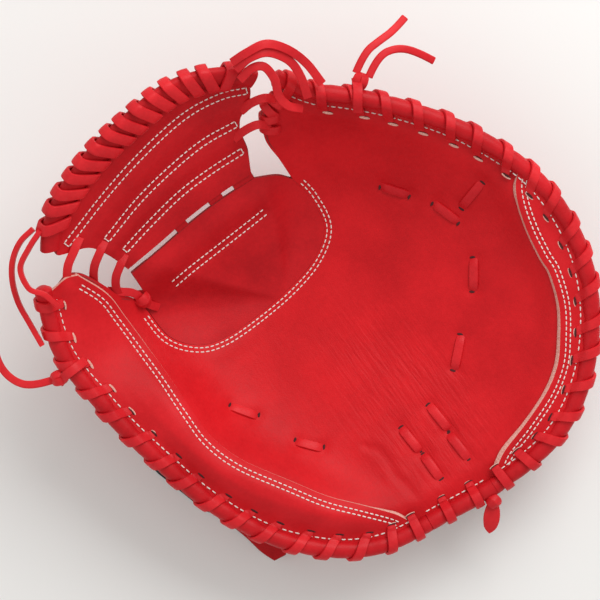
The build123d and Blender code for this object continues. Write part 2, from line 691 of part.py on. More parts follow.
# ---------------------------------------------------------------- the model
def build():
    """Every piece by node name, with its solids."""
    nodes = {}
    nodes["palm_leather"] = palm_leather()
    nodes["thumb_welt_panel"] = welt_panel(THUMB_WELT, THUMB_TIP + 3, HEEL_THUMB - 5)
    nodes["finger_welt_panel"] = welt_panel(FINGER_WELT, HEEL_FINGER + 4, 360 + 33)
    nodes["web_base_panel"] = web_base_panel()
    nodes["web_panel"] = web_panel()
    nodes["web_back_panel"] = web_back_panel()
    nodes["web_bridges"] = web_bridges()
    nodes["web_binder"] = web_binder()
    nodes["web_top_lace"] = web_top_lace()

    nodes["thumb_pad"] = padded_strip(*thumb_area(PAD_EDGE), 22)
    nodes["finger_pad"] = padded_strip(*finger_area(PAD_EDGE), 24)
    nodes["palm_pad"] = padded_strip(*palm_area(HEEL_PAD_END + 0.01, 0.96), 22, 16)
    nodes["heel_pad"] = padded_strip(*palm_area(0.08, HEEL_PAD_END), 8, 10)
    nodes["thumb_lining"] = lining_strip(*thumb_area(LINING_EDGE), 22)
    nodes["finger_lining"] = lining_strip(*finger_area(LINING_EDGE), 24)
    nodes["palm_lining"] = lining_strip(*palm_area(0.12, 0.94), 26, 16)
    nodes["thumb_back"] = back_strip(*thumb_area(SHELL_EDGE), 22)
    nodes["finger_back"] = back_strip(*finger_area(SHELL_EDGE), 22)
    nodes["palm_back"] = back_strip(*palm_area(WRIST_OPENING_END, 0.98), 12)
    nodes["wrist_binding"] = wrist_binding()
    nodes["thumb_loop"] = hand_loop(*THUMB_LOOP, (0, 1))
    nodes["finger_loop"] = hand_loop(*FINGER_LOOP, (1, 0))

    nodes["binding_thumb"] = binding(THUMB_TIP, HEEL_THUMB - 2)
    nodes["binding_heel"] = binding(HEEL_THUMB, HEEL_FINGER)
    nodes["binding_finger"] = binding(HEEL_FINGER + 2, FINGER_TIP)
    nodes["rim_lace_thumb"] = rim_lace(THUMB_TIP, HEEL_THUMB - 2)
    nodes["rim_lace_heel"] = rim_lace(HEEL_THUMB, HEEL_FINGER)
    nodes["rim_lace_finger"] = rim_lace(HEEL_FINGER + 2, FINGER_TIP)

    nodes["wrist_strap"] = wrist_strap()
    nodes["strap_tab"] = strap_tab()
    nodes["hook_patch"] = patch((TAB_LENGTH - STRAP_LENGTH) / 2 + 3.0, TAB_LENGTH - 10.0, STRAP_THICKNESS)
    nodes["loop_patch"] = patch(14.0, 60.0, STRAP_THICKNESS)
    nodes["wrist_cuff"] = wrist_cuff()

    nodes["palm_lace_bars"] = lace_bars(PALM_BARS)
    nodes["thumb_lace_bars"] = lace_bars(THUMB_BARS)
    nodes["finger_lace_bars"] = lace_bars(FINGER_BARS)
    nodes["crotch_lace"] = crotch_lace()
    nodes["web_lace_thumb"] = web_strands(OUTER_THUMB_STRANDS, INNER_THUMB_STRANDS)
    nodes["web_lace_finger"] = web_strands(OUTER_FINGER_STRANDS, INNER_FINGER_STRANDS)
    nodes["top_knot"] = rim_knot(TOP_KNOT)
    nodes["left_knot"] = rim_knot(LEFT_KNOT)
    nodes["heel_lace_end"] = heel_lace_end()
    nodes["top_tail_a"] = tail(TOP_KNOT, TAIL_SPREAD, TOP_TAIL_A)
    nodes["top_tail_b"] = tail(TOP_KNOT, -TAIL_SPREAD, TOP_TAIL_B)
    nodes["left_tail"] = tail(LEFT_KNOT, 0.0, LEFT_TAIL)
    return nodes


if __name__ in ("__main__", "part"):
    os.makedirs("parts", exist_ok=True)
    boxes = []
    for name, solids in build().items():
        moved = [Pos(-ORIGIN[0], -ORIGIN[1], 0) * solid for solid in solids]
        shape = moved[0] if len(moved) == 1 else Compound(children=moved)
        export_step(shape, f"parts/{name}.step")
        if name not in CORD_NODES:
            boxes.append(shape.bounding_box())
    for axis in "XYZ":
        low = min(getattr(box.min, axis) for box in boxes)
        high = max(getattr(box.max, axis) for box in boxes)
        print(axis, round(low, 2), round(high, 2), "middle", round((low + high) / 2, 2))
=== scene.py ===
import bpy
import math
import numpy as np
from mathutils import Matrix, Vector


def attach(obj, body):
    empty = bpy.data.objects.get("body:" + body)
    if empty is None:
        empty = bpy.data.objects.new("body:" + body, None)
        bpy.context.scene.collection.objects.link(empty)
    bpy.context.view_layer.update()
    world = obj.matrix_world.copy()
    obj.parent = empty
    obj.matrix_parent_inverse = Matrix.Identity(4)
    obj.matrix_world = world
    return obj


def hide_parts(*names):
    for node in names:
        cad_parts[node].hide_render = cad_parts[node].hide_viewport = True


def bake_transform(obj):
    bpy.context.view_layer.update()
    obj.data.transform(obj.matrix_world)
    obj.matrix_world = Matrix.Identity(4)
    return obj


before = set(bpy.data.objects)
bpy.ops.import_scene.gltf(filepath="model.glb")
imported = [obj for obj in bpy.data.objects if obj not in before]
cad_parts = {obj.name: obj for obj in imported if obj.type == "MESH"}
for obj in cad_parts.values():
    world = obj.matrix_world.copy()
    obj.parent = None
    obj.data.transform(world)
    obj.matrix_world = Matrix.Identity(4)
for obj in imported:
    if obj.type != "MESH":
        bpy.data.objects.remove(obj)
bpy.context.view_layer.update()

# The mitt's own millimetres are used throughout, and to_metres() turns them into the row frame.
# A plan angle is measured at CENTRE, a share is a fraction of the rim's radius, and the pocket
# face and back face are height fields, as in the CAD model.
ORIGIN = np.array([4.95, -2.16, 0.0])
CENTRE = np.array([-8.0, 0.0])
RIM = np.array([  # plan angle, plan radius, height of the binding's centre
    (6.8, 159.4, 64.0), (23.5, 148.2, 71.0), (39.7, 132.0, 78.0), (58.5, 117.0, 85.0),
    (80.2, 108.8, 92.0), (90.0, 112.5, 97.0), (101.0, 122.0, 108.0), (116.0, 126.1, 119.0),
    (131.2, 124.2, 123.0), (146.0, 126.5, 120.0), (163.6, 130.5, 108.0), (181.2, 123.9, 86.0),
    (192.9, 119.8, 80.0), (209.0, 110.4, 74.0), (231.1, 107.4, 67.0), (250.6, 114.9, 60.0),
    (271.1, 129.2, 53.0), (289.3, 140.3, 49.0), (306.3, 142.9, 47.0), (320.8, 151.7, 47.0),
    (335.1, 162.5, 50.0), (349.5, 164.1, 56.0),
])
RIM_ABOVE, RIM_BELOW = 2.5, 7.0
THUMB_TIP, FINGER_TIP = 177.0, 453.0
HEEL_THUMB, HEEL_FINGER = 303.5, 317.7
HEEL_MIDDLE = (HEEL_THUMB + HEEL_FINGER) / 2
WEB_LEFT, WEB_RIGHT = 163.0, 101.0
POCKET_FLOOR, HEEL_DIRECTION, HEEL_RISE, BACK_REST = 28.0, 310.0, 0.07, 3.8
BODY_POWER, WEB_POWER, BACK_POWER, WEB_BLEND = 2.3, 1.5, 4.0, 25.0
BINDING_EDGE, BINDING_RADIUS = 1.022, 4.4
BINDER_INNER, BINDER_OUTER, BINDER_THICKNESS = 0.915, 1.02, 6.4
LEATHER = 2.2
SHARP = math.radians(48)  # edges sharper than this stay creased
STEP = 0.8  # plan distance over which a slope is measured
BACK_EDGE = 0.992  # share of the rim that the back leather reaches
LACE_WIDTH, LACE_THICKNESS = 5.3, 1.7
WRAP_SPACING, BINDER_WRAPS = 17.5, 14
BINDING_STATIONS, BINDING_SWELL = 400, 0.35  # samples along it, and its bulge between the turns
PALM_EDGE = 1.004  # share of the rim that the palm leather reaches
BINDER_FULLNESS = 0.66  # how far the rolled binder fills the band between its two edges

THUMB_FOLD = np.array([(71.0, -120.0), (-96.0, -4.0)])
FINGER_FOLD = np.array([(103.0, -101.0), (-2.0, 74.0)])
FOLD_REACH = 26.0  # the leather bends over this distance outside a fold

WEB_SEAM = [
    (-85.0, -4.0), (-72.0, -20.0), (-56.0, -25.0), (-41.7, -21.1), (-24.0, -9.0), (-5.6, 6.7),
    (8.0, 23.0), (13.5, 40.0), (6.0, 56.0), (-4.0, 66.0),
]
WEB_SLOT = [(-91.0, 14.5), (-75.0, 28.0), (-59.0, 42.0), (-42.0, 55.0), (-25.0, 66.0)]
THUMB_WELT = [
    (-117.7, 13.0), (-103.6, 3.0), (-94.7, -9.2), (-83.3, -25.0), (-71.2, -41.0), (-59.3, -58.2),
    (-47.3, -74.3), (-30.3, -86.9), (-2.8, -99.0), (15.4, -106.7), (34.1, -111.7), (51.2, -116.5),
    (59.0, -120.5),
]
FINGER_WELT = [
    (107.5, -92.0), (112.0, -82.0), (122.6, -67.9), (133.9, -50.8), (139.7, -36.0), (141.0, -21.2),
    (140.2, -3.3), (135.0, 14.1), (130.1, 22.2), (122.7, 36.8), (117.4, 51.2), (115.8, 61.6),
    (117.4, 69.7),
]
THUMB_EDGE = [  # the thumb tip's end, from the crotch out to the rim
    (-85.0, -4.0), (-91.0, 1.0), (-98.0, 2.5), (-104.0, 7.0), (-111.0, 11.5), (-117.5, 14.0),
    (-124.5, 12.0), (-129.5, 6.0),
]
FINGER_EDGE = [  # the finger tip's end, from the seam out to the rim
    (-4.0, 66.0), (-11.0, 76.0), (-17.5, 84.0), (-19.6, 92.0), (-19.5, 101.0), (-14.0, 107.5),
]


# ---------------------------------------------------------------- the two shared surfaces
def cubic(s, a, b, slope_a, slope_b):
    """A curve from a to b that leaves and arrives with the given slopes."""
    near = (2 * s**3 - 3 * s**2 + 1) * a + (s**3 - 2 * s**2 + s) * slope_a
    return near + (3 * s**2 - 2 * s**3) * b + (s**3 - s**2) * slope_b


def ring_table():
    """Rim radius and height at every half degree: a cubic curve through the RIM rows."""
    knots = np.concatenate([RIM[-2:, 0] - 360, RIM[:, 0], RIM[:2, 0] + 360])
    rows = np.concatenate([RIM[-2:, 1:], RIM[:, 1:], RIM[:2, 1:]])
    angles = np.arange(0, 360.5, 0.5)
    out = np.zeros((len(angles), 2))
    for i, angle in enumerate(angles):
        k = int(np.searchsorted(knots, angle, side="right")) - 1
        span = knots[k + 1] - knots[k]
        s = (angle - knots[k]) / span
        slope_a = (rows[k + 1] - rows[k - 1]) / (knots[k + 1] - knots[k - 1]) * span
        slope_b = (rows[k + 2] - rows[k]) / (knots[k + 2] - knots[k]) * span
        out[i] = cubic(s, rows[k], rows[k + 1], slope_a, slope_b)
    return angles, out


RING_ANGLES, RING_VALUES = ring_table()


def ring(angle):
    """The rim's plan radius and height at an angle."""
    angle = np.asarray(angle, float) % 360.0
    radius = np.interp(angle, RING_ANGLES, RING_VALUES[:, 0])
    return radius, np.interp(angle, RING_ANGLES, RING_VALUES[:, 1])


def polar(x, y):
    """A point's angle, its share of the rim's radius, and the rim's height there."""
    dx, dy = x - CENTRE[0], y - CENTRE[1]
    angle = np.degrees(np.arctan2(dy, dx)) % 360.0
    radius, height = ring(angle)
    return angle, np.hypot(dx, dy) / radius, height


def pocket(x, y):
    """Height of the pocket's leather face."""
    angle, share, rim = polar(x, y)
    heel = math.radians(HEEL_DIRECTION)
    towards_heel = (x - CENTRE[0]) * math.cos(heel) + (y - CENTRE[1]) * math.sin(heel)
    floor = POCKET_FLOOR + HEEL_RISE * towards_heel
    distance = np.maximum(np.maximum(WEB_RIGHT - angle, angle - WEB_LEFT), 0.0)
    blend = np.clip(1.0 - distance / WEB_BLEND, 0, 1)
    power = BODY_POWER + (WEB_POWER - BODY_POWER) * blend * blend * (3 - 2 * blend)
    return floor + (rim + RIM_ABOVE - floor) * share**power


def back(x, y):
    """Height of the back leather's outer face."""
    _, share, rim = polar(x, y)
    return BACK_REST + (rim - RIM_BELOW - BACK_REST) * share**BACK_POWER


def normals(height, x, y):
    dx = (height(x + STEP, y) - height(x - STEP, y)) / (2 * STEP)
    dy = (height(x, y + STEP) - height(x, y - STEP)) / (2 * STEP)
    return unit(np.stack([-dx, -dy, np.ones_like(dx)], -1))


def spot(face, x, y, lift=0.0):
    """One point on a surface, lifted square to it, and the surface's normal there."""
    x, y = np.array([x]), np.array([y])
    up = normals(face, x, y)[0]
    return np.array([x[0], y[0], face(x, y)[0]]) + up * lift, up


# ---------------------------------------------------------------- curves
def unit(v):
    return v / np.maximum(np.linalg.norm(v, axis=-1, keepdims=True), 1e-9)


def arc_lengths(path):
    return np.concatenate([[0], np.cumsum(np.linalg.norm(np.diff(path, axis=0), axis=1))])


def rows_at(values, lengths, at):
    """Rows of values at the given lengths along their curve."""
    return np.stack([np.interp(at, lengths, column) for column in values.T], -1)


def smooth(points, count):
    """Evenly spaced samples on a smooth curve through points, in plan or in space."""
    p = np.asarray(points, float)
    q = np.concatenate([2 * p[:1] - p[1:2], p, 2 * p[-1:] - p[-2:-1]])
    fine = []
    for k in range(1, len(p)):
        s = np.linspace(0, 1, 24, endpoint=k == len(p) - 1)[:, None]
        a, b, c, d = q[k - 1], q[k], q[k + 1], q[k + 2]
        fine.append(cubic(s, b, c, (c - a) / 2, (d - b) / 2))
    fine = np.concatenate(fine)
    lengths = arc_lengths(fine)
    return rows_at(fine, lengths, np.linspace(0, lengths[-1], count))


def rim_plan(start, end, share, count):
    """Plan points along the rim."""
    angle = np.linspace(start, end, count)
    radius = ring(angle)[0] * share
    a = np.radians(angle)
    return CENTRE + np.stack([radius * np.cos(a), radius * np.sin(a)], 1)


def rim_point(angle, share):
    return rim_plan(angle, angle, share, 1)[0]


def sideways(points, offset):
    """A plan curve moved by an offset to its left."""
    along = unit(np.gradient(points, axis=0))
    return points + np.stack([-along[:, 1], along[:, 0]], 1) * offset


def coons(first, last, start=None, end=None, count=0):
    """A plan grid between two long curves and two end curves, straight if they aren't given."""
    start = np.linspace(first[0], last[0], count) if start is None else start
    end = np.linspace(first[-1], last[-1], count) if end is None else end
    u = np.linspace(0, 1, len(first))[:, None, None]
    v = np.linspace(0, 1, len(start))[None, :, None]
    across = (1 - v) * first[:, None] + v * last[:, None]
    along = (1 - u) * start[None] + u * end[None]
    corners = (1 - u) * ((1 - v) * first[0] + v * last[0])
    corners = corners + u * ((1 - v) * first[-1] + v * last[-1])
    return across + along - corners


def distance_to(x, y, line):
    """Distance from each plan point to a plan curve."""
    best = np.full(x.shape, 1e9)
    for a, b in zip(line[:-1], line[1:]):
        d = b - a
        t = np.clip(((x - a[0]) * d[0] + (y - a[1]) * d[1]) / (d @ d), 0, 1)
        best = np.minimum(best, np.hypot(x - a[0] - t * d[0], y - a[1] - t * d[1]))
    return best


# ---------------------------------------------------------------- mesh building
def to_metres(points):
    return (np.asarray(points, float) - ORIGIN) / 1000.0


def new_object(name, points, faces, materials, face_slots=None, sharp=SHARP):
    """A smooth-shaded mesh object from points in the mitt's millimetres."""
    mesh = bpy.data.meshes.new(name)
    mesh.from_pydata(to_metres(points).tolist(), [], faces)
    for material in materials:
        mesh.materials.append(material)
    if face_slots is not None:
        mesh.polygons.foreach_set("material_index", np.asarray(face_slots, np.int32))
    mesh.polygons.foreach_set("use_smooth", np.ones(len(faces), bool))
    mesh.validate()
    mesh.set_sharp_from_angle(angle=sharp)
    mesh.update()
    piece = bpy.data.objects.new(name, mesh)
    bpy.context.scene.collection.objects.link(piece)
    return piece


class Solid:
    """Collects closed solids into one mesh."""

    def __init__(self):
        self.points, self.faces, self.slots = [], [], []
        self.count = 0

    def add(self, points, faces, slot=0):
        points = np.asarray(points, float).reshape(-1, 3)
        self.points.append(points)
        self.faces += [[v + self.count for v in face] for face in faces]
        self.slots += slot if isinstance(slot, list) else [slot] * len(faces)
        self.count += len(points)

    def object(self, name, materials, sharp=SHARP):
        points = np.concatenate(self.points)
        return new_object(name, points, self.faces, materials, self.slots, sharp)


def slab(solid, top, normal, thickness, edge_bulge=0.3, edge_slot=1, raw_out=0.0):
    """A closed sheet below a grid of top points, with a rounded edge.

    raw_out pushes the lower side of the first column out, as on a skived edge."""
    rows, cols = top.shape[:2]
    thick = np.asarray(thickness)[..., None] if np.ndim(thickness) else thickness
    low = top - normal * thick
    size = rows * cols
    index = np.arange(size).reshape(rows, cols)
    a, b, c, d = index[:-1, :-1], index[:-1, 1:], index[1:, 1:], index[1:, :-1]
    x_axis, y_axis = top[1, 1] - top[0, 1], top[1, 1] - top[1, 0]
    flip = np.dot(np.cross(x_axis, y_axis), normal[1, 1]) > 0
    faces = np.stack([d, c, b, a] if flip else [a, b, c, d], -1).reshape(-1, 4)
    border = [(i, 0) for i in range(rows)] + [(rows - 1, j) for j in range(1, cols)]
    border += [(i, cols - 1) for i in range(rows - 2, -1, -1)]
    border += [(0, j) for j in range(cols - 2, 0, -1)]
    middle = []
    for i, j in border:
        inside = top[min(max(i, 1), rows - 2), min(max(j, 1), cols - 2)]
        out = top[i, j] - inside
        out = out / max(np.linalg.norm(out), 1e-6)
        half = (top[i, j] + low[i, j]) / 2
        if j == 0:
            half = half + out * raw_out * 0.6
            low[i, j] = low[i, j] + out * raw_out
        middle.append(half + out * edge_bulge)
    loop = np.array([index[i, j] for i, j in border])
    ahead = np.roll(loop, -1)
    mid = 2 * size + np.arange(len(loop))
    mid_ahead = np.roll(mid, -1)
    upper = np.stack([mid, mid_ahead, ahead, loop], -1)
    lower = np.stack([loop + size, ahead + size, mid_ahead, mid], -1)
    sides = np.stack([upper, lower], 1).reshape(-1, 4)
    both = np.stack([faces, faces[:, ::-1] + size], 1).reshape(-1, 4)
    points = np.concatenate([top.reshape(-1, 3), low.reshape(-1, 3), np.array(middle)])
    faces = np.concatenate([both, sides[:, ::-1] if flip else sides]).tolist()
    solid.add(points, faces, [0] * len(both) + [edge_slot] * len(sides))


def lay(solid, plan, face, thickness=LEATHER, **edges):
    """A leather sheet over a plan grid, with its top on a face."""
    x, y = plan[..., 0], plan[..., 1]
    slab(solid, np.stack([x, y, face(x, y)], -1), normals(face, x, y), thickness, **edges)


def level(x, y, z):
    """Top points at the heights z, and a normal that points straight up at each."""
    top = np.stack([x, y, z], -1)
    return top, np.broadcast_to(np.array([0.0, 0.0, 1.0]), top.shape)


def tangents(path):
    return unit(np.gradient(path, axis=0))


def sweep(solid, path, normal, profile, closed=False, scale=None):
    """A tube along a path: profile points are (across, up), up being the normal."""
    along = unit(np.roll(path, -1, 0) - np.roll(path, 1, 0)) if closed else tangents(path)
    across = unit(np.cross(along, normal))
    up = np.cross(across, along)
    n, m = len(path), len(profile)
    scale = np.ones((n, 2)) if scale is None else scale
    points = np.zeros((n, m, 3))
    for k, (a, b) in enumerate(profile):
        points[:, k] = path + across * (a * scale[:, :1]) + up * (b * scale[:, 1:])
    near = np.arange(n * m).reshape(n, m)
    far = np.roll(near, -1, 0)
    quads = np.stack([near, np.roll(near, -1, 1), np.roll(far, -1, 1), far], -1)
    faces = quads[: n if closed else n - 1].reshape(-1, 4).tolist()
    if not closed:
        faces += [near[0, ::-1].tolist(), near[-1].tolist()]
    solid.add(points, faces)


def flat_profile(width, thickness, crown=0.15):
    """The section of a flat lace: a cut strip with narrow edges, a little crowned."""
    w, t = width / 2, thickness / 2
    return [
        (-w, -t * 0.7), (-w, t * 0.6), (-w * 0.93, t), (-w * 0.45, t + crown * 0.8),
        (0, t + crown), (w * 0.45, t + crown * 0.8), (w * 0.93, t), (w, t * 0.6),
        (w, -t * 0.7), (w * 0.93, -t), (0, -t), (-w * 0.93, -t),
    ][::-1]


def round_profile(radius, count=14):
    angles = np.linspace(0, 2 * math.pi, count, endpoint=False)
    return [(radius * math.cos(a), radius * math.sin(a)) for a in angles]


# ---------------------------------------------------------------- materials
def node(tree, kind, **values):
    made = tree.nodes.new(kind)
    for key, value in values.items():
        if hasattr(made, key):
            setattr(made, key, value)
        else:
            made.inputs[key.replace("_", " ")].default_value = value
    return made


def shader_material(name, base, roughness):
    material = bpy.data.materials.new(name)
    material.use_nodes = True
    tree = material.node_tree
    shader = tree.nodes["Principled BSDF"]
    shader.inputs["Base Color"].default_value = (*base, 1)
    shader.inputs["Roughness"].default_value = roughness
    return material, tree, shader


def tint(tree, source, dark, light, low=0.0, high=1.0):
    """Colours the shader by a value, from dark at low to light at high."""
    ramp = node(tree, "ShaderNodeValToRGB")
    for stop, place, colour in zip(ramp.color_ramp.elements, (low, high), (dark, light)):
        stop.position, stop.color = place, (*colour, 1)
    tree.links.new(source, ramp.inputs["Fac"])
    tree.links.new(ramp.outputs["Color"], tree.nodes["Principled BSDF"].inputs["Base Color"])


def emboss(tree, source, strength, distance, into):
    """Raises the surface by a value, and hands the bent normal to a socket."""
    bump = node(tree, "ShaderNodeBump", Strength=strength, Distance=distance)
    tree.links.new(source, bump.inputs["Height"])
    tree.links.new(bump.outputs["Normal"], into)
    return bump


SPECULAR = 0.17
CREASE_DEPTH, PORE_DEPTH, WRINKLE_DEPTH, WEAVE_DEPTH = 0.0006, 0.00025, 0.0011, 0.0004  # metres


def leather(name, dark, light, rough=(0.44, 0.58), grain=0.25, crease=0.25, wrinkled=False):
    """Dyed full-grain leather: mottled colour, pores, fine creases, and wrinkles near the heel."""
    material, tree, shader = shader_material(name, light, rough[0])
    link = tree.links.new
    coords = node(tree, "ShaderNodeTexCoord")
    cloud = node(tree, "ShaderNodeTexNoise", Scale=28.0, Detail=4.0, Roughness=0.55)
    mottle = node(tree, "ShaderNodeTexNoise", Scale=420.0, Detail=3.0, Roughness=0.6)
    pores = node(tree, "ShaderNodeTexVoronoi", Scale=1500.0)
    lines = node(tree, "ShaderNodeTexNoise", Scale=260.0, Detail=6.0, Roughness=0.7, Distortion=1.2)
    for texture in (cloud, mottle, pores, lines):
        link(coords.outputs["Object"], texture.inputs["Vector"])
    both = node(tree, "ShaderNodeMath", operation="MULTIPLY_ADD")
    link(mottle.outputs["Fac"], both.inputs[0])
    both.inputs[1].default_value = 0.35
    link(cloud.outputs["Fac"], both.inputs[2])
    tint(tree, both.outputs[0], dark, light, 0.45, 0.85)
    gloss = node(tree, "ShaderNodeMapRange")
    gloss.inputs["To Min"].default_value, gloss.inputs["To Max"].default_value = rough
    link(mottle.outputs["Fac"], gloss.inputs["Value"])
    link(gloss.outputs["Result"], shader.inputs["Roughness"])
    fine = emboss(tree, pores.outputs["Distance"], grain, PORE_DEPTH, shader.inputs["Normal"])
    coarse = emboss(tree, lines.outputs["Fac"], crease, CREASE_DEPTH, fine.inputs["Normal"])
    shader.inputs["Specular IOR Level"].default_value = SPECULAR
    if wrinkled:
        wrinkles(tree, coords, coarse.inputs["Normal"])
    return material


WRINKLE_MIDDLE, WRINKLE_HEADING = [62.0, -55.0, 0.0], math.radians(-54)


def wrinkles(tree, coords, into):
    """Fine parallel wrinkles where the palm folds towards the heel."""
    link = tree.links.new
    middle = (*to_metres(WRINKLE_MIDDLE)[:2], 0.03)
    found = []
    for place, size in (((0, 0, 0), (1 / 45, 1 / 420, 1 / 150)), (middle, (0.085, 0.050, 0.2))):
        mapping = node(tree, "ShaderNodeMapping", vector_type="TEXTURE")
        mapping.inputs["Location"].default_value = place
        mapping.inputs["Rotation"].default_value = (0, 0, WRINKLE_HEADING)
        mapping.inputs["Scale"].default_value = size
        link(coords.outputs["Object"], mapping.inputs["Vector"])
        found.append(mapping.outputs["Vector"])
    lines = node(tree, "ShaderNodeTexNoise", Scale=1.0, Detail=3.0, Roughness=0.6, Distortion=0.3)
    away = node(tree, "ShaderNodeVectorMath", operation="LENGTH")
    fade = node(tree, "ShaderNodeMapRange", interpolation_type="SMOOTHSTEP")
    for key, value in (("From Min", 0.15), ("From Max", 1.0), ("To Min", 0.9), ("To Max", 0.12)):
        fade.inputs[key].default_value = value
    link(found[0], lines.inputs["Vector"])
    link(found[1], away.inputs[0])
    link(away.outputs["Value"], fade.inputs["Value"])
    bump = emboss(tree, lines.outputs["Fac"], 1.0, WRINKLE_DEPTH, into)
    link(fade.outputs["Result"], bump.inputs["Strength"])


def fibre(name, dark, light, scale=900.0, strength=0.5, sheen=0.3):
    """Felt, pile, thread or raw leather edge: a fibrous matt surface."""
    material, tree, shader = shader_material(name, light, 0.85)
    coords = node(tree, "ShaderNodeTexCoord")
    noise = node(tree, "ShaderNodeTexNoise", Scale=scale, Detail=5.0, Roughness=0.7)
    tree.links.new(coords.outputs["Object"], noise.inputs["Vector"])
    tint(tree, noise.outputs["Fac"], dark, light, 0.35, 0.65)
    emboss(tree, noise.outputs["Fac"], strength, WEAVE_DEPTH, shader.inputs["Normal"])
    shader.inputs["Sheen Weight"].default_value = sheen
    return material


def webbing(name, dark, light):
    """A knitted or woven band: crossed waves."""
    material, tree, shader = shader_material(name, light, 0.8)
    coords = node(tree, "ShaderNodeTexCoord")
    knit = node(tree, "ShaderNodeMath", operation="MULTIPLY")
    for k, way in enumerate("XY"):
        wave = node(tree, "ShaderNodeTexWave", Scale=320.0, Distortion=0.6, bands_direction=way)
        tree.links.new(coords.outputs["Object"], wave.inputs["Vector"])
        tree.links.new(wave.outputs["Fac"], knit.inputs[k])
    tint(tree, knit.outputs[0], dark, light)
    emboss(tree, knit.outputs[0], 0.6, WEAVE_DEPTH, shader.inputs["Normal"])
    shader.inputs["Sheen Weight"].default_value = 0.08
    return material


PALM = leather("palm_red", (0.48, 0.004, 0.008), (0.62, 0.008, 0.013), wrinkled=True)
WELT = leather("welt_red", (0.49, 0.005, 0.009), (0.63, 0.010, 0.016), crease=0.15)
# painted shade: the web's leather is the palm's red made darker, standing in for the shade on the
# web, which faces away from the light
WEB_SHADED = leather("web_red_painted_shade", (0.39, 0.004, 0.008), (0.55, 0.008, 0.013), crease=0.18)
ROLL = leather("binding_red", (0.42, 0.005, 0.009), (0.58, 0.010, 0.016), rough=(0.38, 0.50))
LACE = leather("lace_red", (0.50, 0.009, 0.015), (0.68, 0.019, 0.025), rough=(0.36, 0.48),
               grain=0.3)
BACK = leather("back_red", (0.38, 0.004, 0.008), (0.54, 0.008, 0.013))
LINING = leather("lining_tan", (0.32, 0.18, 0.09), (0.52, 0.33, 0.18), rough=(0.5, 0.65))
RAW_EDGE = fibre("raw_edge", (0.56, 0.20, 0.16), (0.80, 0.50, 0.42), scale=1400.0, sheen=0.0)
DARK_EDGE = fibre("dyed_edge", (0.22, 0.006, 0.008), (0.34, 0.012, 0.014), scale=1200.0, sheen=0.0)
THREAD = fibre("thread_white", (0.68, 0.62, 0.57), (0.90, 0.85, 0.80), scale=3000.0, sheen=0.1)
# painted shade: near-black flat lenses over the lace holes stand in for the shadow inside each hole
HOLE_SHADE = fibre("hole_painted_shade", (0.045, 0.002, 0.003), (0.08, 0.004, 0.005), sheen=0.0)
FELT = fibre("felt", (0.50, 0.46, 0.38), (0.74, 0.70, 0.60), scale=500.0, strength=0.9)
PILE = fibre("hook_pile", (0.010, 0.010, 0.010), (0.045, 0.045, 0.045), scale=2200.0, strength=1.0)
CUFF_KNIT = webbing("cuff_knit", (0.010, 0.010, 0.012), (0.050, 0.050, 0.055))


# ---------------------------------------------------------------- what pieces ride on
def settle(piece, slot_name, body, *nodes):
    """Hides the CAD nodes that a piece replaces, and attaches it to what it rides on; slot_name is
    not used.
    """
    if nodes:
        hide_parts(*nodes)
    if body is not None:
        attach(piece, body)
    return piece


def bend_over(piece, side):
    """Bakes a piece's transform into its mesh; the span across the thumb's or finger's fold is
    worked out but not used.
    """
    fold, sign = (THUMB_FOLD, -1) if side == "thumb_side" else (FINGER_FOLD, 1)
    along = (fold[1] - fold[0]) / np.linalg.norm(fold[1] - fold[0])
    out = np.array([along[1], -along[0]]) * sign
    middle = fold.mean(0)
    start = to_metres([*(middle - out * 8.0), 50.0])
    end = to_metres([*(middle + out * FOLD_REACH), 50.0])
    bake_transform(piece)


# ---------------------------------------------------------------- stitches and lace holes
THREAD_RADIUS = 0.36


def many_tubes(solid, paths, ups, profile, scale):
    """Equal tubes at once: paths and ups are (tube, station, 3), scale one size per station."""
    along = unit(np.gradient(paths, axis=1))
    across = unit(np.cross(along, ups))
    up = np.cross(across, along)
    profile = np.asarray(profile)
    sides = (profile[None, :, 0] * scale[:, None])[None, :, :, None]
    rises = (profile[None, :, 1] * scale[:, None])[None, :, :, None]
    points = paths[:, :, None] + across[:, :, None] * sides + up[:, :, None] * rises
    tubes, stations, m = points.shape[:3]
    one = np.arange(stations * m).reshape(stations, m)
    near, far = one[:-1], one[1:]
    quads = np.stack([near, np.roll(near, -1, 1), np.roll(far, -1, 1), far], -1).reshape(-1, 4)
    starts = np.arange(tubes) * stations * m
    faces = (quads[None] + starts[:, None, None]).reshape(-1, 4).tolist()
    faces += (one[0, ::-1][None] + starts[:, None]).tolist()
    faces += (one[-1][None] + starts[:, None]).tolist()
    solid.add(points, faces)


def stitches(solid, line, height, lift=0.2, pitch=2.9, length=2.0):
    """A row of thread stitches along a plan curve on a surface."""
    total = np.linalg.norm(np.diff(line, axis=0), axis=1).sum()
    count = max(2, int(total / pitch))
    dense = smooth(line, count * 8 + 1)
    stations = np.array([-1.0, -0.72, 0.0, 0.72, 1.0])
    sizes = np.array([0.35, 0.9, 1.0, 0.9, 0.35])
    drops = np.array([-0.9, -0.15, 0.0, -0.15, -0.9]) * THREAD_RADIUS
    at = (4 + 8 * np.arange(count))[:, None] + stations[None] * length / pitch * 4
    place = rows_at(dense, np.arange(len(dense)), at)
    x, y = place[..., 0], place[..., 1]
    up = normals(height, x, y)
    paths = np.stack([x, y, height(x, y)], -1) + up * (lift + drops)[None, :, None]
    many_tubes(solid, paths, up, round_profile(THREAD_RADIUS, 6), sizes)


def sewn(name, body, rows, face, **sizes):
    """Rows of stitching as one piece."""
    thread = Solid()
    for row in rows:
        stitches(thread, row, face, **sizes)
    settle(thread.object(name, [THREAD]), "lace", body)


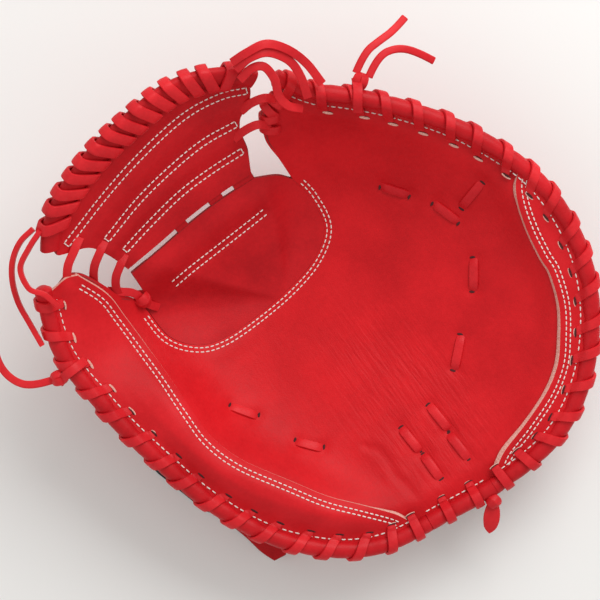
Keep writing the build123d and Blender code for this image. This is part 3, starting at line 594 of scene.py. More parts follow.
def lens(solid, centre, along, up, length, width, height, slot):
    """A flat lens shape, such as a lace hole seen from outside; a near-black one is painted shade
    for the hole's dark inside.
    """
    across = unit(np.cross(up, along))
    rings = [(1.0, 0.0), (0.9, 0.5), (0.5, 0.9)]
    count = 12
    points = [centre - up * height]
    for size, rise in rings:
        for k in range(count):
            a = 2 * math.pi * k / count
            flat = along * math.cos(a) * length / 2 + across * math.sin(a) * width / 2
            points.append(centre + flat * size + up * height * rise)
    points.append(centre + up * height)
    faces = [(0, 1 + (k + 1) % count, 1 + k) for k in range(count)]
    for r in range(len(rings) - 1):
        for k in range(count):
            a, b = 1 + r * count + k, 1 + r * count + (k + 1) % count
            faces.append((a, b, b + count, a + count))
    top = len(points) - 1
    last = 1 + (len(rings) - 1) * count
    faces += [(last + k, last + (k + 1) % count, top) for k in range(count)]
    solid.add(points, faces, slot)


# ---------------------------------------------------------------- palm leather
SEAM_LINE = smooth(WEB_SEAM, 60)
THUMB_CREST = sideways(smooth(THUMB_WELT, 40), -5.0)
FINGER_CREST = sideways(smooth(FINGER_WELT, 40), -3.5)


def waves(x, y, direction, length, phase=0.0):
    a = math.radians(direction)
    return np.sin((x * math.cos(a) + y * math.sin(a)) * 2 * math.pi / length + phase)


def ramp(value, start, end):
    t = np.clip((value - start) / (end - start), 0, 1)
    return t * t * (3 - 2 * t)


def padding(x, y):
    """How far the pads lift the leather along the welts, and how it turns down at the binding."""
    angle, share, _ = polar(x, y)
    height = 6.0 + 9.0 * ramp(angle, 195.0, 228.0) * ramp(angle, 298.0, 270.0)
    thumb = height * np.exp(-((distance_to(x, y, THUMB_CREST) / 17.0) ** 2))
    finger = 5.0 * np.exp(-((distance_to(x, y, FINGER_CREST) / 11.0) ** 2))
    return (thumb + finger) * (1 - 0.85 * ramp(share, 0.86, 1.0)) - 4.0 * ramp(share, 0.91, 1.01)


def palm_face(x, y):
    """The pocket leather with its padding, seam, lace dents and soft undulation."""
    z = pocket(x, y) + padding(x, y)
    z = z + 0.35 * waves(x, y, 20.0, 61.0) * waves(x, y, 115.0, 47.0, 2.0)
    seam = distance_to(x, y, SEAM_LINE)
    z = z - 0.3 * np.exp(-((seam / 2.4) ** 2)) + 0.4 * np.exp(-(((seam - 7.0) / 4.0) ** 2))
    for cx, cy, angle, length, width, _ in BARS:
        a = math.radians(angle)
        u = (x - cx) * math.cos(a) + (y - cy) * math.sin(a)
        v = -(x - cx) * math.sin(a) + (y - cy) * math.cos(a)
        ends = np.exp(-(((np.abs(u) - length / 2) / 3.5) ** 2) - (v / 5.0) ** 2)
        bed = np.exp(-((u / (length * 0.6)) ** 4) - (v / (width * 0.75)) ** 4)
        z = z - 1.2 * ends - 0.5 * bed
    for line in CREASES:
        gap = distance_to(x, y, line)
        z = z - 0.8 * np.exp(-((gap / 1.9) ** 2)) + 0.3 * np.exp(-(((gap - 4.0) / 2.4) ** 2))
    return z


WELT_LIFT = LEATHER + 0.25


def rim_face(x, y):
    """The uppermost leather near the rim: the welt panels where they lie, the palm elsewhere."""
    angle = polar(x, y)[0]
    thumb = (angle > THUMB_TIP + 1.5) & (angle < HEEL_THUMB - 3.0)
    finger = (angle > HEEL_FINGER + 2.5) | (angle < 31.5)
    return palm_face(x, y) + WELT_LIFT * (thumb | finger)


BARS = [  # lace bars on the pocket: x, y, heading, length, width, side
    (76.5, -64.6, -51.0, 17.5, 5.2, "palm"), (87.2, -80.5, -52.0, 17.0, 5.2, "palm"),
    (60.9, -77.0, -51.0, 16.5, 5.2, "palm"), (72.4, -91.6, -54.0, 16.0, 5.2, "palm"),
    (5.0, -80.0, -14.0, 15.5, 5.0, "thumb"), (-31.0, -61.5, -20.0, 16.0, 5.0, "thumb"),
    (95.5, 14.0, -90.0, 18.0, 5.0, "finger"), (87.0, -29.0, -101.0, 19.5, 5.0, "finger"),
    (52.0, 60.0, -18.0, 16.0, 5.0, "finger"), (80.0, 48.0, -37.0, 17.0, 5.0, "finger"),
    (93.0, 57.0, -128.0, 16.5, 5.0, "finger"),
]
CREASES = [  # pinched folds beside the thumb's welt
    np.array([(36.0, -80.5), (43.0, -82.5), (48.0, -88.0), (51.5, -94.5)]),
    np.array([(52.5, -97.0), (58.0, -101.0), (63.0, -107.5)]),
]


def palm_halves():
    """The pocket leather: a thumb half and a finger half that meet on the palm."""
    rows, cols = 300, 84
    inner = smooth(WEB_SEAM, rows)
    outer = rim_plan(THUMB_TIP, FINGER_TIP, PALM_EDGE, rows)
    start, end = smooth(THUMB_EDGE, cols), smooth(FINGER_EDGE, cols)
    outer[0], outer[-1] = start[-1], end[-1]
    ease = ramp(np.arange(12), 0, 11)
    fine = rim_plan(THUMB_TIP, FINGER_TIP, PALM_EDGE, rows)
    outer[:12] = start[-1] + (fine[:12] - start[-1]) * ease[:, None]
    outer[-12:] = end[-1] + (fine[-12:] - end[-1]) * ease[::-1, None]
    plan = coons(inner, outer, start, end)
    x, y = plan[..., 0], plan[..., 1]
    top = np.stack([x, y, palm_face(x, y)], -1)
    up = normals(palm_face, x, y)
    angle = polar(plan[:, -1, 0], plan[:, -1, 1])[0]
    middle = int(np.argmin(np.abs(angle[: rows * 2 // 3] - HEEL_MIDDLE)))
    for side, rows_in in (("thumb", slice(0, middle + 1)), ("finger", slice(middle, rows))):
        solid = Solid()
        slab(solid, top[rows_in], up[rows_in], LEATHER, edge_slot=1)
        piece = solid.object(f"palm_leather_{side}", [PALM, DARK_EDGE])
        settle(piece, "palm_leather", None, "palm_leather")
        bend_over(piece, f"{side}_side")


def seam_stitches():
    """The double row where the web's base is sewn to the palm."""
    seam = smooth(WEB_SEAM, 120)
    sewn("seam_stitches", "palm", [sideways(seam, -d)[3:-3] for d in (1.5, 3.8)], palm_face)


# ---------------------------------------------------------------- welt panels
def welt_panel(name, side, raw_edge, rim_start, rim_end, tip, heel, rows, raw_out):
    """A reinforcing panel along the rim, with its raw inner edge and double stitching."""
    cols = 26
    inner, outer = smooth(raw_edge, rows), rim_plan(rim_start, rim_end, 1.0, rows)
    start = smooth([inner[0], *tip, outer[0]], cols)
    plan = coons(inner, outer, start, smooth([inner[-1], *heel, outer[-1]], cols))

    def face(x, y):
        groove = np.exp(-(((distance_to(x, y, inner) - 4.4) / 2.2) ** 2))
        return palm_face(x, y) + WELT_LIFT - 0.5 * groove

    solid = Solid()
    lay(solid, plan, face, LEATHER * 0.9, edge_bulge=0.15, raw_out=raw_out)
    panel = solid.object(name, [WELT, RAW_EDGE], sharp=math.radians(40))
    settle(panel, "welt_leather", f"{side}_side", name)
    rows = [sideways(inner, -d)[3:-3] for d in (3.2, 5.6)]
    sewn(f"{name}_stitches", f"{side}_side", rows, face)


# ---------------------------------------------------------------- rim binding and its lace
def binding_path(start, end, count):
    """The middle of the binding: points, and the directions along, inward and up."""
    angle = np.linspace(start, end, count)
    plan = rim_plan(start, end, BINDING_EDGE, count)
    path = np.column_stack([plan, ring(angle)[1]])
    along = tangents(path)
    inward = np.column_stack([CENTRE - plan, np.zeros(count)])
    inward = unit(inward - along * (inward * along).sum(1, keepdims=True))
    up = np.cross(along, inward)
    up *= np.sign(up[:, 2:])
    return path, along, inward, up


def wrap_places(start, end):
    """Where the lace goes over the binding: the arc length of each turn."""
    path = binding_path(start, end, BINDING_STATIONS)[0]
    total = arc_lengths(path)[-1]
    count = max(1, round(total / WRAP_SPACING))
    wander = [0.8 * math.sin(2.3 * k + start) for k in range(count)]
    return [total * (k + 0.5) / count + wander[k] for k in range(count)]


def binding_piece(name, start, end, body):
    """The rolled binding, pinched a little by each turn of lace."""
    path, _, _, up = binding_path(start, end, BINDING_STATIONS)
    lengths = arc_lengths(path)
    total = lengths[-1]
    count = int(total / 1.6)
    at = np.linspace(0, total, count)
    radius = np.full(count, BINDING_RADIUS + BINDING_SWELL)
    for place in wrap_places(start, end):
        radius -= 0.75 * np.exp(-(((at - place) / 3.2) ** 2))
    radius *= 1 + 0.015 * np.sin(at / 3.1) + 0.01 * np.sin(at / 1.3 + 1.0)
    taper = np.clip(np.minimum(at, total - at) / 3.0 + 0.55, 0, 1) if body != "palm" else 1.0
    scale = np.stack([radius * taper, radius * taper * 0.97], 1)
    solid = Solid()
    middle, over = rows_at(path, lengths, at), rows_at(up, lengths, at)
    sweep(solid, middle, over, round_profile(1.0, 20), scale=scale)
    settle(solid.object(name, [ROLL]), "binding_leather", body, name)
    inner = rim_plan(start, end, BINDING_EDGE, 200)
    inner = inner + unit(CENTRE - inner) * (BINDING_RADIUS + 1.7)
    sewn(f"{name}_stitches", body, [inner[4:-4]], rim_face, pitch=3.6, length=2.4)


def wrap_turn(solid, place, along, inward, up, skew):
    """One turn of rim lace: out of its hole, over the roll and under it."""
    hole_in = BINDING_RADIUS + 4.4
    reaches = np.array([hole_in, hole_in - 1.0, 6.9, 5.6])
    aside = skew * (0.5 - (hole_in - reaches) / 36.0)
    under = place + np.outer(reaches, inward) + np.outer(aside, along)
    drops = rim_face(under[:, 0], under[:, 1]) - place[2]
    steep = normals(rim_face, under[:, 0], under[:, 1])[:, 2]
    hole, hole_xy = under[0], (under[:1, 0], under[:1, 1])
    reach = BINDING_RADIUS + LACE_THICKNESS * 0.6
    arc = [(reach * math.cos(a), reach * math.sin(a)) for a in np.radians(np.arange(70, 236, 17))]
    tail = [(-2.2, -8.6), (1.5, -10.5)]
    head = list(zip(reaches, drops + np.array([-1.6, 0.9, 1.15, 1.3]) / steep))
    head[3] = (reaches[3], max(head[3][1], -0.5))
    flat = smooth(head + arc + tail, 32)
    share = arc_lengths(flat) / arc_lengths(flat)[-1]
    shift = skew * (0.5 - share)
    path = place + flat[:, :1] * inward + flat[:, 1:] * up + shift[:, None] * along
    flat_along = tangents(flat)
    normal = flat_along[:, 1:] * inward - flat_along[:, :1] * up
    width = 1.0 - 0.2 * np.exp(-((share / 0.10) ** 2))
    scale = np.stack([width, np.ones_like(width)], 1)
    sweep(solid, path, normal, flat_profile(LACE_WIDTH, LACE_THICKNESS), scale=scale)
    face_up = normals(rim_face, *hole_xy)[0]
    surface = np.array([hole[0], hole[1], rim_face(*hole_xy)[0]])
    lens(solid, surface + inward * 0.55, unit(along), face_up, 6.0, 1.7, 0.2, 2)
    # the inner, near-black lens is painted shade for the shadow down the lace hole
    lens(solid, surface + inward * 0.2, unit(along), face_up, 5.6, 1.6, 0.3, 1)


def rim_lace(name, start, end, body, slant):
    """The turns of lace over a stretch of the binding; slant gives a turn's skew at an angle."""
    path, along, inward, up = binding_path(start, end, BINDING_STATIONS)
    lengths = arc_lengths(path)
    solid = Solid()
    for place in wrap_places(start, end):
        values = [rows_at(a, lengths, place) for a in (path, along, inward, up)]
        angle = np.interp(place, lengths, np.linspace(start, end, BINDING_STATIONS))
        wrap_turn(solid, *values, slant(angle))
    settle(solid.object(name, [LACE, HOLE_SHADE, RAW_EDGE]), "lace", body, name)


# ---------------------------------------------------------------- web
WEB_STITCH_LINES = [  # middle of each double row on the web's upper panel
    [(-123.0, 29.0), (-104.0, 53.0), (-84.0, 75.0), (-61.0, 96.0), (-42.0, 106.5), (-28.0, 110.0)],
    [(-103.0, 32.0), (-86.0, 52.5), (-68.5, 69.5), (-51.5, 83.5), (-34.0, 93.5)],
    [(-94.0, 26.5), (-82.0, 39.5), (-64.5, 56.5), (-47.5, 69.5), (-31.0, 80.0)],
]


WEB_ENDS = (  # the upper panel's two ends, from the slot up
    [(-98.5, 21.5), (-107.0, 26.5), (-113.0, 27.5), (-120.0, 25.5), (-126.5, 23.5)],
    [(-28.5, 81.0), (-32.0, 90.0), (-31.7, 96.0), (-26.7, 104.5)],
)


def web_face(x, y):
    """The upper web's leather, drawn in at each double row of stitches."""
    z = pocket(x, y)
    near = np.full(x.shape, 1e9)
    for line in WEB_STITCH_LINES:
        near = np.minimum(near, distance_to(x, y, smooth(line, 40)))
    z = z + 1.5 * (1 - np.exp(-((near / 5.5) ** 2))) - 0.8 * np.exp(-((near / 2.2) ** 2))
    return z + 0.25 * waves(x, y, 130.0, 31.0) * waves(x, y, 40.0, 53.0)


def web_upper():
    """The web's upper leathers, front and rear, with their stitching."""
    rows, cols = 150, 64
    slot_side = sideways(smooth(WEB_SLOT, rows), 2.6)
    top_side = rim_plan(WEB_LEFT + 5.5, WEB_RIGHT - 1.6, BINDER_INNER + 0.03, rows)
    ends = [smooth([slot_side[k], *WEB_ENDS[k], top_side[k]], cols) for k in (0, -1)]
    plan = coons(slot_side, top_side, *ends)
    solid = Solid()
    lay(solid, plan, web_face)
    settle(solid.object("web_panel", [WEB_SHADED, DARK_EDGE]), "web_leather", "palm", "web_panel")
    rear = Solid()
    lay(rear, plan[2:-2, 1:-1], lambda x, y: pocket(x, y) - 3.2)
    piece = rear.object("web_back_panel", [BACK, DARK_EDGE])
    settle(piece, "web_leather", "palm", "web_back_panel")

    thread = Solid()
    for line in WEB_STITCH_LINES:
        for offset in (-1.5, 1.5):
            stitches(thread, sideways(smooth(line, 60), offset), web_face)
        for end, inner in ((line[0], line[1]), (line[-1], line[-2])):
            a = np.array(end)
            d = unit(np.array(inner) - a)
            across = np.array([-d[1], d[0]]) * 1.5
            closing = np.array([a - across, a, a + across])
            stitches(thread, closing, web_face, pitch=1.6, length=1.4)
    settle(thread.object("web_stitches", [THREAD]), "lace", "palm")


BASE_ROLL = [(-88.0, 10.5), (-73.0, 23.5), (-57.0, 37.0), (-40.5, 50.0), (-24.0, 60.5)]
BASE_ROLL = sideways(smooth(BASE_ROLL, 60), -4.5)
BASE_STITCH = [(-69.5, 8.5), (-58.0, 18.0), (-46.5, 27.0), (-33.0, 37.5), (-19.0, 48.5)]


def base_face(x, y):
    """The web's base: a padded roll along the slot, then flat leather down to the seam."""
    roll = distance_to(x, y, BASE_ROLL)
    z = pocket(x, y) + 3.6 * np.exp(-((roll / 8.0) ** 2))
    row = distance_to(x, y, smooth(BASE_STITCH, 40))
    seam = distance_to(x, y, SEAM_LINE)
    z = z - 0.9 * np.exp(-((row / 2.6) ** 2))
    return z - 0.25 * np.exp(-((seam / 3.0) ** 2)) + 0.3 * waves(x, y, 50.0, 39.0)


def web_base():
    """The web's base leather, from the slot down to the seam."""
    rows, cols = 120, 54
    seam_side = sideways(smooth(WEB_SEAM, rows), 0.1)
    slot_side = sideways(smooth(WEB_SLOT, rows), -0.2)
    left = smooth([seam_side[0], (-84.5, 2.5), (-87.0, 8.0), slot_side[0]], cols)
    right = smooth([seam_side[-1], (-12.0, 67.5), slot_side[-1]], cols)
    solid = Solid()
    lay(solid, coons(seam_side, slot_side, left, right), base_face, edge_bulge=0.4)
    piece = solid.object("web_base_panel", [WEB_SHADED, DARK_EDGE])
    settle(piece, "web_leather", "palm", "web_base_panel")
    row = smooth(BASE_STITCH, 60)
    sewn("base_stitches", "palm", [sideways(row, d) for d in (-1.6, 1.6)], base_face)


def web_tabs():
    """The short leather bridges across the slot."""
    solid = Solid()
    slot = smooth(WEB_SLOT, 101)
    for at, wide in ((44, 7.0), (72, 8.0), (93, 12.0)):
        along = unit(slot[min(100, at + 3)] - slot[at - 3])
        out = np.array([-along[1], along[0]])
        u = np.linspace(-wide / 2, wide / 2, 6)[:, None, None]
        v = np.linspace(-3.0, 5.0, 8)[None, :, None]
        lay(solid, slot[at] + u * along + v * out, lambda x, y: pocket(x, y) + 0.1, LEATHER * 0.9)
    settle(solid.object("web_tabs", [WEB_SHADED, DARK_EDGE]), "binder_leather", "palm", "web_bridges")


def binder_frames(count):
    """Places along the binder: middle, and directions along, up the web and square to it."""
    angle = np.linspace(WEB_LEFT + 5, WEB_RIGHT - 3, count)
    plan = rim_plan(WEB_LEFT + 5, WEB_RIGHT - 3, (BINDER_INNER + BINDER_OUTER) / 2, count)
    up = normals(pocket, plan[:, 0], plan[:, 1])
    path = np.column_stack([plan, pocket(plan[:, 0], plan[:, 1])]) - up * 1.0
    along = tangents(path)
    up = unit(up - along * (up * along).sum(1, keepdims=True))
    out = np.cross(along, up)
    width = ring(angle)[0] * (BINDER_OUTER - BINDER_INNER) / 2
    run = np.hypot(out[:, 0], out[:, 1])
    return path, along, out, up, BINDER_FULLNESS * width / np.maximum(run, 0.4)


def ellipse(half_length, half_thickness, count, power=0.62):
    angles = np.linspace(0, 2 * math.pi, count, endpoint=False)
    c, s = np.cos(angles), np.sin(angles)
    return np.stack([
        half_length * np.sign(c) * np.abs(c) ** power,
        half_thickness * np.sign(s) * np.abs(s) ** power,
    ], 1)


WRAP_SLANT = 2.9


def web_top():
    """The binder and the lace wound round it."""
    count = 170
    path, along, out, up, half = binder_frames(count)
    solid = Solid()
    section = ellipse(1.0, BINDER_THICKNESS / 2, 22, power=0.75)
    scale = np.stack([half, np.ones(count)], 1)
    sweep(solid, path, up, section, scale=scale)
    settle(solid.object("web_binder", [WEB_SHADED]), "binder_leather", "palm", "web_binder")
    wraps = Solid()
    for k in range(BINDER_WRAPS):
        at = int((0.06 + 0.88 * (k + 0.5) / BINDER_WRAPS) * (count - 1))
        ring_flat = ellipse(half[at] + 1.2, BINDER_THICKNESS / 2 + 1.1, 44, power=0.55)
        skew = WRAP_SLANT * ring_flat[:, 0] / half[at] * (1.0 if k < BINDER_WRAPS - 1 else -0.4)
        swell = 0.25 * math.sin(1.7 * k)
        turn = path[at] + ring_flat[:, :1] * out[at] + ring_flat[:, 1:] * up[at]
        turn = turn + skew[:, None] * along[at]
        steps = np.roll(ring_flat, -1, 0) - np.roll(ring_flat, 1, 0)
        flat_normal = unit(np.stack([steps[:, 1], -steps[:, 0]], 1))
        normal = flat_normal[:, :1] * out[at] + flat_normal[:, 1:] * up[at]
        sweep(wraps, turn, normal, flat_profile(6.0 + swell, 1.7, crown=0.3), closed=True)
    settle(wraps.object("web_top_lace", [LACE]), "binder_leather", "palm", "web_top_lace")


# ---------------------------------------------------------------- loose laces, bars and knots
def strand(solid, route, width=4.6, thickness=1.7, on_edge=False):
    """A flat lace through points, lying flat or standing on its edge."""
    path = smooth(route, 40)
    side = unit(np.cross(tangents(path), np.array([0, 0, 1.0])))
    normal = side if on_edge else np.cross(side, tangents(path))
    sweep(solid, path, normal, flat_profile(width, thickness))


def bar(solid, x, y, heading, length, width):
    """A lace bar that comes up through the leather, lies on it and goes down again."""
    a = math.radians(heading)
    u = np.linspace(-0.5, 0.5, 22)
    px, py = x + u * length * math.cos(a), y + u * length * math.sin(a)
    arch = 1.7 * (1 - np.abs(2 * u) ** 6) - 1.1
    up = normals(palm_face, px, py)
    path = np.column_stack([px, py, palm_face(px, py)]) + up * arch[:, None]
    width_scale = 0.82 + 0.18 * (1 - np.abs(2 * u) ** 4)
    scale = np.stack([width_scale, np.ones_like(u)], 1)
    sweep(solid, path, up, flat_profile(width, 1.5, crown=0.3), scale=scale)
    for end in (-1, 1):
        reach = end * (length / 2 + 0.4)
        place, face_up = spot(palm_face, x + reach * math.cos(a), y + reach * math.sin(a))
        along = np.array([-math.sin(a), math.cos(a), 0.0])
        # near-black lens at each end: painted shade where the lace goes down into its hole
        lens(solid, place, along, face_up, width, 1.7, 0.3, 1)


def lace_bars():
    """The lace bars of each part of the pocket."""
    for side in ("palm", "thumb", "finger"):
        solid = Solid()
        for x, y, heading, length, width, on in BARS:
            if on == side:
                bar(solid, x, y, heading, length, width)
        piece = solid.object(f"{side}_lace_bars", [LACE, HOLE_SHADE])
        settle(piece, "lace", "palm" if side == "palm" else None, f"{side}_lace_bars")
        if side != "palm":
            bend_over(piece, f"{side}_side")


THUMB_STRANDS = [
    [(-139.0, 37.0, 109.0), (-146.0, 30.0, 108.0), (-150.5, 20.0, 103.0), (-151.0, 9.0, 98.0),
     (-148.5, -2.0, 92.0), (-143.5, -12.0, 88.0), (-137.0, -24.0, 85.0)],
    [(-135.0, 36.0, 111.0), (-141.0, 27.0, 110.0), (-146.0, 16.5, 106.0), (-142.0, 6.0, 102.0),
     (-134.5, 3.0, 99.5), (-127.5, -3.0, 94.0)],
]
THUMB_STRANDS_ON_FACE = [
    [(-116.0, 33.0, 0.0), (-119.0, 26.0, 3.5), (-122.5, 18.0, 4.0), (-123.5, 10.0, 2.0),
     (-123.0, 4.0, -3.0)],
    [(-104.0, 31.0, 0.0), (-106.5, 25.0, 3.5), (-109.5, 18.0, 4.0), (-110.5, 11.0, 1.5),
     (-110.0, 6.0, -3.0)],
    [(-94.0, 24.5, -1.0), (-96.5, 18.5, 3.0), (-99.0, 12.0, 4.5), (-99.0, 5.5, 3.5),
     (-96.0, -0.5, 1.5)],
]
FINGER_STRANDS = [
    [(-35.0, 122.5, 121.0), (-27.5, 127.0, 124.5), (-17.5, 131.6, 124.5), (-6.7, 129.5, 119.0),
     (3.1, 123.3, 111.0), (11.5, 113.5, 103.0)],
    [(-33.0, 119.0, 119.0), (-26.0, 124.5, 123.0), (-16.4, 127.5, 122.0), (-5.6, 124.0, 115.0),
     (0.5, 116.2, 108.0), (4.0, 106.5, 99.0)],
    [(-31.0, 114.0, 116.0), (-25.0, 119.5, 119.5), (-18.5, 120.5, 118.5), (-13.2, 114.5, 113.0),
     (-11.0, 106.5, 105.5), (-6.0, 102.0, 99.0), (1.0, 101.0, 92.5)],
]
FINGER_STRANDS_ON_FACE = [
    [(-31.0, 100.0, 0.0), (-26.0, 103.5, 3.5), (-19.0, 106.0, 6.0), (-13.5, 106.0, 2.0)],
    [(-35.0, 86.0, 0.0), (-29.5, 90.0, 3.5), (-22.5, 93.0, 5.0), (-16.0, 92.5, 1.0)],
]


def lift_route(route):
    """A route whose heights are given above the pocket."""
    return [(x, y, pocket(x, y) + lift) for x, y, lift in route]


def web_laces():
    """The strands that tie the web to the thumb's tip and the finger's tip."""
    for side, loose, resting, edge_on, start, end in (
        ("thumb", THUMB_STRANDS, THUMB_STRANDS_ON_FACE, 2, (-108.0, 28.0), (-118.0, 8.0)),
        ("finger", FINGER_STRANDS, FINGER_STRANDS_ON_FACE, 0, (-30.0, 110.0), (-6.0, 100.0)),
    ):
        solid = Solid()
        for k, route in enumerate(loose + [lift_route(r) for r in resting]):
            strand(solid, route, 4.6, 2.7 if k < edge_on else 1.8, on_edge=k < edge_on)
        piece = solid.object(f"web_lace_{side}", [LACE])
        settle(piece, "lace", None, f"web_lace_{side}")
        ends = [tuple(to_metres([*p, 90.0])) for p in (start, end)]
        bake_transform(piece)


def band(solid, centre, axes, reaches, bends, width, count):
    """A closed oval turn of flat lace in the plane of two axes."""
    angles = np.linspace(0, 2 * math.pi, count, endpoint=False)
    c, s = np.cos(angles), np.sin(angles)
    path = centre + np.outer(c * reaches[0], axes[0]) + np.outer(s * reaches[1], axes[1])
    normal = np.outer(c / bends[0], axes[0]) + np.outer(s / bends[1], axes[1])
    sweep(solid, path, unit(normal), flat_profile(width, 1.6), closed=True)


def knot_coil(solid, centre, along, up, size):
    """A pulled-tight knot: a filled middle with two bands crossing over it."""
    out = np.cross(along, up)
    length, height, depth = size * 0.48, size * 0.36, size * 0.30
    rounds = np.linspace(-1, 1, 9)
    core = centre + np.outer(rounds * length, along)
    swell = np.sqrt(np.clip(1 - rounds**2, 0.03, 1))
    scale = np.outer(swell, [depth, height])
    sweep(solid, core, np.tile(up, (9, 1)), round_profile(1.0, 16), scale=scale)
    for tilt in (math.radians(62), math.radians(118)):
        across = along * math.cos(tilt) + up * math.sin(tilt)
        band(solid, centre, (across, out), (height + 1.0, depth + 1.0), (height, depth), 4.6, 30)


def crotch():
    """The knot between the thumb's tip and the web's base."""
    solid = Solid()
    centre, up = spot(pocket, -87.0, 1.5, 2.2)
    along = unit(np.cross(up, np.array([0.8, 0.6, 0.0])))
    knot_coil(solid, centre, along, up, 8.5)
    route = [(-104.0, 5.0, -1.0), (-97.0, 4.5, 3.0), (-90.0, 3.5, 3.6), (-83.0, -2.0, 3.2),
             (-78.0, -4.0, 0.0)]
    strand(solid, lift_route(route), 4.6)
    settle(solid.object("crotch_lace", [LACE]), "lace", "palm", "crotch_lace")


TOP_KNOT, LEFT_KNOT, HEEL_KNOT = 71.0, 199.0, 316.0
KNOT_OUT = BINDING_RADIUS + 8.05  # from the binding's middle to a knot's outer face
UP = np.array([0.0, 0.0, 1.0])


def knot_frame(angle):
    """The binding's middle at an angle, and the directions along the rim and out."""
    a = math.radians(angle)
    out = np.array([math.cos(a), math.sin(a), 0.0])
    centre = np.array([*rim_point(angle, BINDING_EDGE), ring(angle)[1]])
    return centre, np.array([-out[1], out[0], 0.0]), out


def rim_knots():
    """The two knots outside the rim, each with a lace back over the binding."""
    for name, angle, body in (
        ("top_knot", TOP_KNOT, "finger_side"), ("left_knot", LEFT_KNOT, "thumb_side"),
    ):
        centre, along, out = knot_frame(angle)
        solid = Solid()
        knot_coil(solid, centre + out * (KNOT_OUT - 3.4), along, UP, 9.0)
        steps = [(KNOT_OUT - 3.0, 0.0, 2.5), (4.5, 6.5, 0.0), (-1.5, 6.9, -2.0), (-7.0, 1.5, -4.0)]
        over = [centre + out * far + UP * rise + along * aside for far, rise, aside in steps]
        strand(solid, over, 5.0)
        settle(solid.object(name, [LACE]), "lace", body, name)


def heel_end():
    """The leaf-shaped lace end outside the heel, on its knot."""
    centre, along, out = knot_frame(HEEL_KNOT)
    solid = Solid()
    knot_coil(solid, centre + out * (KNOT_OUT - 5.6), along, UP, 7.5)
    place = centre + out * (KNOT_OUT - 5.5)
    lean = out * 0.62 - along * 0.78
    steps = ((0, 0), (6, 1.0), (12, 3.0), (18, 6.5))
    path = smooth([place + lean * reach - UP * fall for reach, fall in steps], 16)
    share = np.linspace(0, 1, 16)
    width = 0.75 + 0.75 * np.sin(math.pi * np.clip(share * 1.05, 0, 1)) ** 0.8
    width[-3:] = (0.95, 0.6, 0.12)
    side = unit(np.cross(tangents(path), UP))
    scale = np.stack([width, np.ones(16)], 1)
    sweep(solid, path, np.cross(side, tangents(path)), flat_profile(6.0, 1.6), scale=scale)
    settle(solid.object("heel_lace_end", [LACE]), "lace", "palm", "heel_lace_end")


# ---------------------------------------------------------------- free lace tails
TAILS = {  # each tail's route, in the mitt's millimetres, from its knot's outer face
    "top_tail_a": ("finger_side", 0.0445, [
        (29.62, 120.32, 88.91), (34.0, 131.0, 88.5), (42.0, 137.5, 86.5), (50.0, 143.5, 83.0),
        (56.0, 151.0, 77.5)]),
    "top_tail_b": ("finger_side", 0.0475, [
        (36.43, 117.98, 88.91), (41.0, 129.0, 88.5), (51.0, 134.0, 86.5), (62.0, 132.5, 82.5),
        (71.5, 128.0, 76.5)]),
    "left_tail": ("thumb_side", 0.0730, [
        (-131.96, -42.68, 77.54), (-143.5, -46.5, 77.5), (-154.5, -43.0, 75.0),
        (-162.0, -34.5, 72.5), (-165.0, -23.5, 69.0), (-166.5, -12.0, 64.0), (-170.0, -1.0, 58.0)]),
}
TAIL_WIDTH, TAIL_THICKNESS = 4.2, 1.9


def tip_bands():
    """The turns of lace bunched round the end of the finger's tip."""
    solid = Solid()
    edge = smooth(FINGER_EDGE, 60)
    for at, tilt in ((58, 14), (50, -8), (43, 10), (36, -6)):
        place, up = spot(palm_face, *edge[at])
        along = unit(np.append(edge[min(at + 1, 59)] - edge[at - 1], 0.0))
        along = unit(along - up * (along @ up))
        inward = np.cross(along, up) * -1.0
        inward *= np.sign(inward @ np.array([1.0, 0.1, 0.0]))
        tilt = math.radians(tilt)
        turned = along * math.sin(tilt) + inward * math.cos(tilt)
        centre = place + inward * 4.4 - up * 2.0
        band(solid, centre, (turned, up), (5.2, 3.6), (5.2, 3.6), 5.0, 32)
    settle(solid.object("finger_tip_bands", [LACE]), "lace", "finger_side")


def tails():
    """The free lace ends: flat laces on one smooth curve each."""
    for name, (body, length, route) in TAILS.items():
        curve = bpy.data.curves.new(name, "CURVE")
        curve.dimensions = "3D"
        spline = curve.splines.new("NURBS")
        spline.points.add(len(route) - 1)
        for point, place in zip(spline.points, to_metres(route)):
            point.co = (*place, 1.0)
            point.tilt = math.pi / 2
        spline.order_u = 3
        spline.use_endpoint_u = True
        spline.resolution_u = 10
        curve.twist_mode = "Z_UP"
        curve.extrude = (TAIL_WIDTH - TAIL_THICKNESS) / 2000
        curve.bevel_depth = TAIL_THICKNESS / 2000
        curve.bevel_resolution = 3
        curve.use_fill_caps = True
        curve.materials.append(LACE)
        piece = bpy.data.objects.new(name, curve)
        bpy.context.scene.collection.objects.link(piece)
        settle(piece, "lace", body, name)
        exit_point = tuple(to_metres(route[0]))


# ---------------------------------------------------------------- back of the mitt
def fold_plan(fold, start, end, offset, count):
    """Plan points along a fold, moved out from it by an offset."""
    along = fold[1] - fold[0]
    out = np.array([along[1], -along[0]]) / np.linalg.norm(along)
    share = np.linspace(start, end, count)[:, None]
    return fold[0] + along * share + out * offset


def fold_point(fold, share, offset):
    return fold_plan(fold, share, share, offset, 1)[0]


